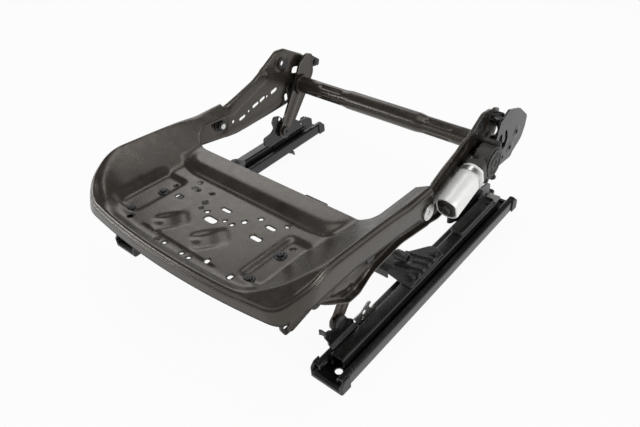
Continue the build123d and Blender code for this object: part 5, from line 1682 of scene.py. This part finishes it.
def make_world():
    """White studio walls round the object, under a dark ceiling."""
    world = bpy.data.worlds.new("studio")
    bpy.context.scene.world = world
    world.use_nodes = True
    world.node_tree.nodes.clear()
    wires = Wiring(world.node_tree)
    path = wires.node("ShaderNodeLightPath").outputs
    towards = wires.node("ShaderNodeTexCoord").outputs["Generated"]
    height = wires.node("ShaderNodeSeparateXYZ", {"Vector": towards}).outputs["Z"]
    wall = wires.node(
        "ShaderNodeMapRange",
        {"Value": height, "From Min": WALL_TOP, "From Max": CEILING, "To Min": 1.0, "To Max": 0.0},
        interpolation_type="SMOOTHSTEP",
    ).outputs[0]
    seen = wires.math("MAXIMUM", path["Is Camera Ray"], path["Is Transmission Ray"])
    seen = wires.math("MAXIMUM", seen, wires.math("MULTIPLY", path["Is Glossy Ray"], wall))
    light = wires.math("MULTIPLY_ADD", wall, WALL_LIGHT - CEILING_LIGHT, CEILING_LIGHT)
    strength = wires.math("MAXIMUM", seen, light)
    glow = wires.node("ShaderNodeBackground", {"Color": (1, 1, 1, 1), "Strength": strength})
    wires.feed(wires.node("ShaderNodeOutputWorld").inputs["Surface"], glow.outputs[0])


def make_lamp(name, place, aim, size, watts):
    """A rectangular lamp at a place, turned towards its aim."""
    light = bpy.data.lights.new(name, "AREA")
    light.shape = "RECTANGLE"
    light.size, light.size_y = size
    light.energy = watts
    lamp = bpy.data.objects.new(name, light)
    bpy.context.scene.collection.objects.link(lamp)
    lamp.location = place
    lamp.rotation_euler = (Vector(aim) - Vector(place)).to_track_quat("-Z", "Y").to_euler()
    return lamp


def make_camera():
    """The photograph's camera."""
    azimuth, elevation, roll = CAMERA_BEARING, CAMERA_ELEVATION, CAMERA_ROLL
    back = Vector((sin(azimuth) * cos(elevation), -cos(azimuth) * cos(elevation), sin(elevation)))
    right = Vector((cos(azimuth), sin(azimuth), 0.0))
    up = back.cross(right)
    axes = (right * cos(roll) + up * sin(roll), up * cos(roll) - right * sin(roll), back)
    camera = bpy.data.objects.new("camera", bpy.data.cameras.new("camera"))
    bpy.context.scene.collection.objects.link(camera)
    camera.data.sensor_width = SENSOR_WIDTH
    camera.data.lens = LENS
    rows = [(*[axis[row] for axis in axes], CAMERA_PLACE[row]) for row in range(3)]
    camera.matrix_world = Matrix(rows + [(0, 0, 0, 1)])
    bpy.context.scene.camera = camera


def dress_nodes(frame):
    """Gives each CAD node the finish of its slot."""
    for node, slot in SLOTS.items():
        mesh = frame["nodes"][node].data
        mesh.materials.clear()
        mesh.materials.append(FINISHES[slot])


EASED_NODES = [
    "lower_rail_left", "lower_rail_right", "rail_front_caps", "rail_rear_caps", "locating_hooks",
    "slide_beam", "slide_motor", "slide_motor_housing", "drive_sleeves", "lower_link_rivets",
    "rail_end_tabs", "tilt_shaft_hangers", "upper_link_rivets", "pivot_bolts", "pivot_nuts",
    "backrest_nuts", "lift_gear_housing", "motor_strap", "harness_stud", "pan_bracket_left",
    "pan_bracket_right", "tilt_cranks", "tilt_shaft", "torque_tube_bushes", "sector_gear",
    "lift_pinion",
]

bpy.context.scene.view_settings.view_transform = "Standard"
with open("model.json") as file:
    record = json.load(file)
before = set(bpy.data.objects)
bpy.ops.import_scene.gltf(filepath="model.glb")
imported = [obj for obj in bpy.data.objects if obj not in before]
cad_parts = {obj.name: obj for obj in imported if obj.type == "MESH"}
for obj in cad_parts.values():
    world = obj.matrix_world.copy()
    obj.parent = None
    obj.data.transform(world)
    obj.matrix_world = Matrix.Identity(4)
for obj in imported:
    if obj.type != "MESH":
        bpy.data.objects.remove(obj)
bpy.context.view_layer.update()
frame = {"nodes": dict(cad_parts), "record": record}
SLOTS = {entry["node"]: entry["material_slot"] for entry in frame["record"]["subparts"]}
BODIES = {node: body for body, nodes in frame["record"]["behaviour"]["bodies"].items() for node in nodes}
make_camera()
make_floor()
make_world()
make_lamp("overhead strip", (-0.15, -0.1, 2.2), (-0.15, -0.1, 0.1), (0.5, 2.8), 15.0)
make_lamp("rear softbox", (-1.5, 1.4, 1.35), (0, 0, 0.1), (1.4, 1.0), 8.6)
make_lamp("front fill", (2.0, 0.1, 1.3), (0.2, 0.1, 0.1), (0.9, 0.9), 20.0)
make_lamp("front strip", (-1.6, -1.35, 0.72), (0, -0.35, 0.15), (1.4, 0.3), 12.0)
dress_nodes(frame)
make_pan()
for side, word in ((-1, "left"), (1, "right")):
    make_side_member(side, word)
    make_front_link(side, word)
    make_rear_link(side, word)
    make_front_bracket(side, word)
    make_rear_bracket(side, word)
    make_gearbox_bracket(side, word)
    make_upper_rail(side, word)
make_torque_tube()
make_lift_motor()
make_gear_cover()
make_outer_plate()
make_track_cover()
make_cable_bracket()
make_harness_plate()
for node in EASED_NODES:
    eased_copy(frame, node)
dress_fasteners()
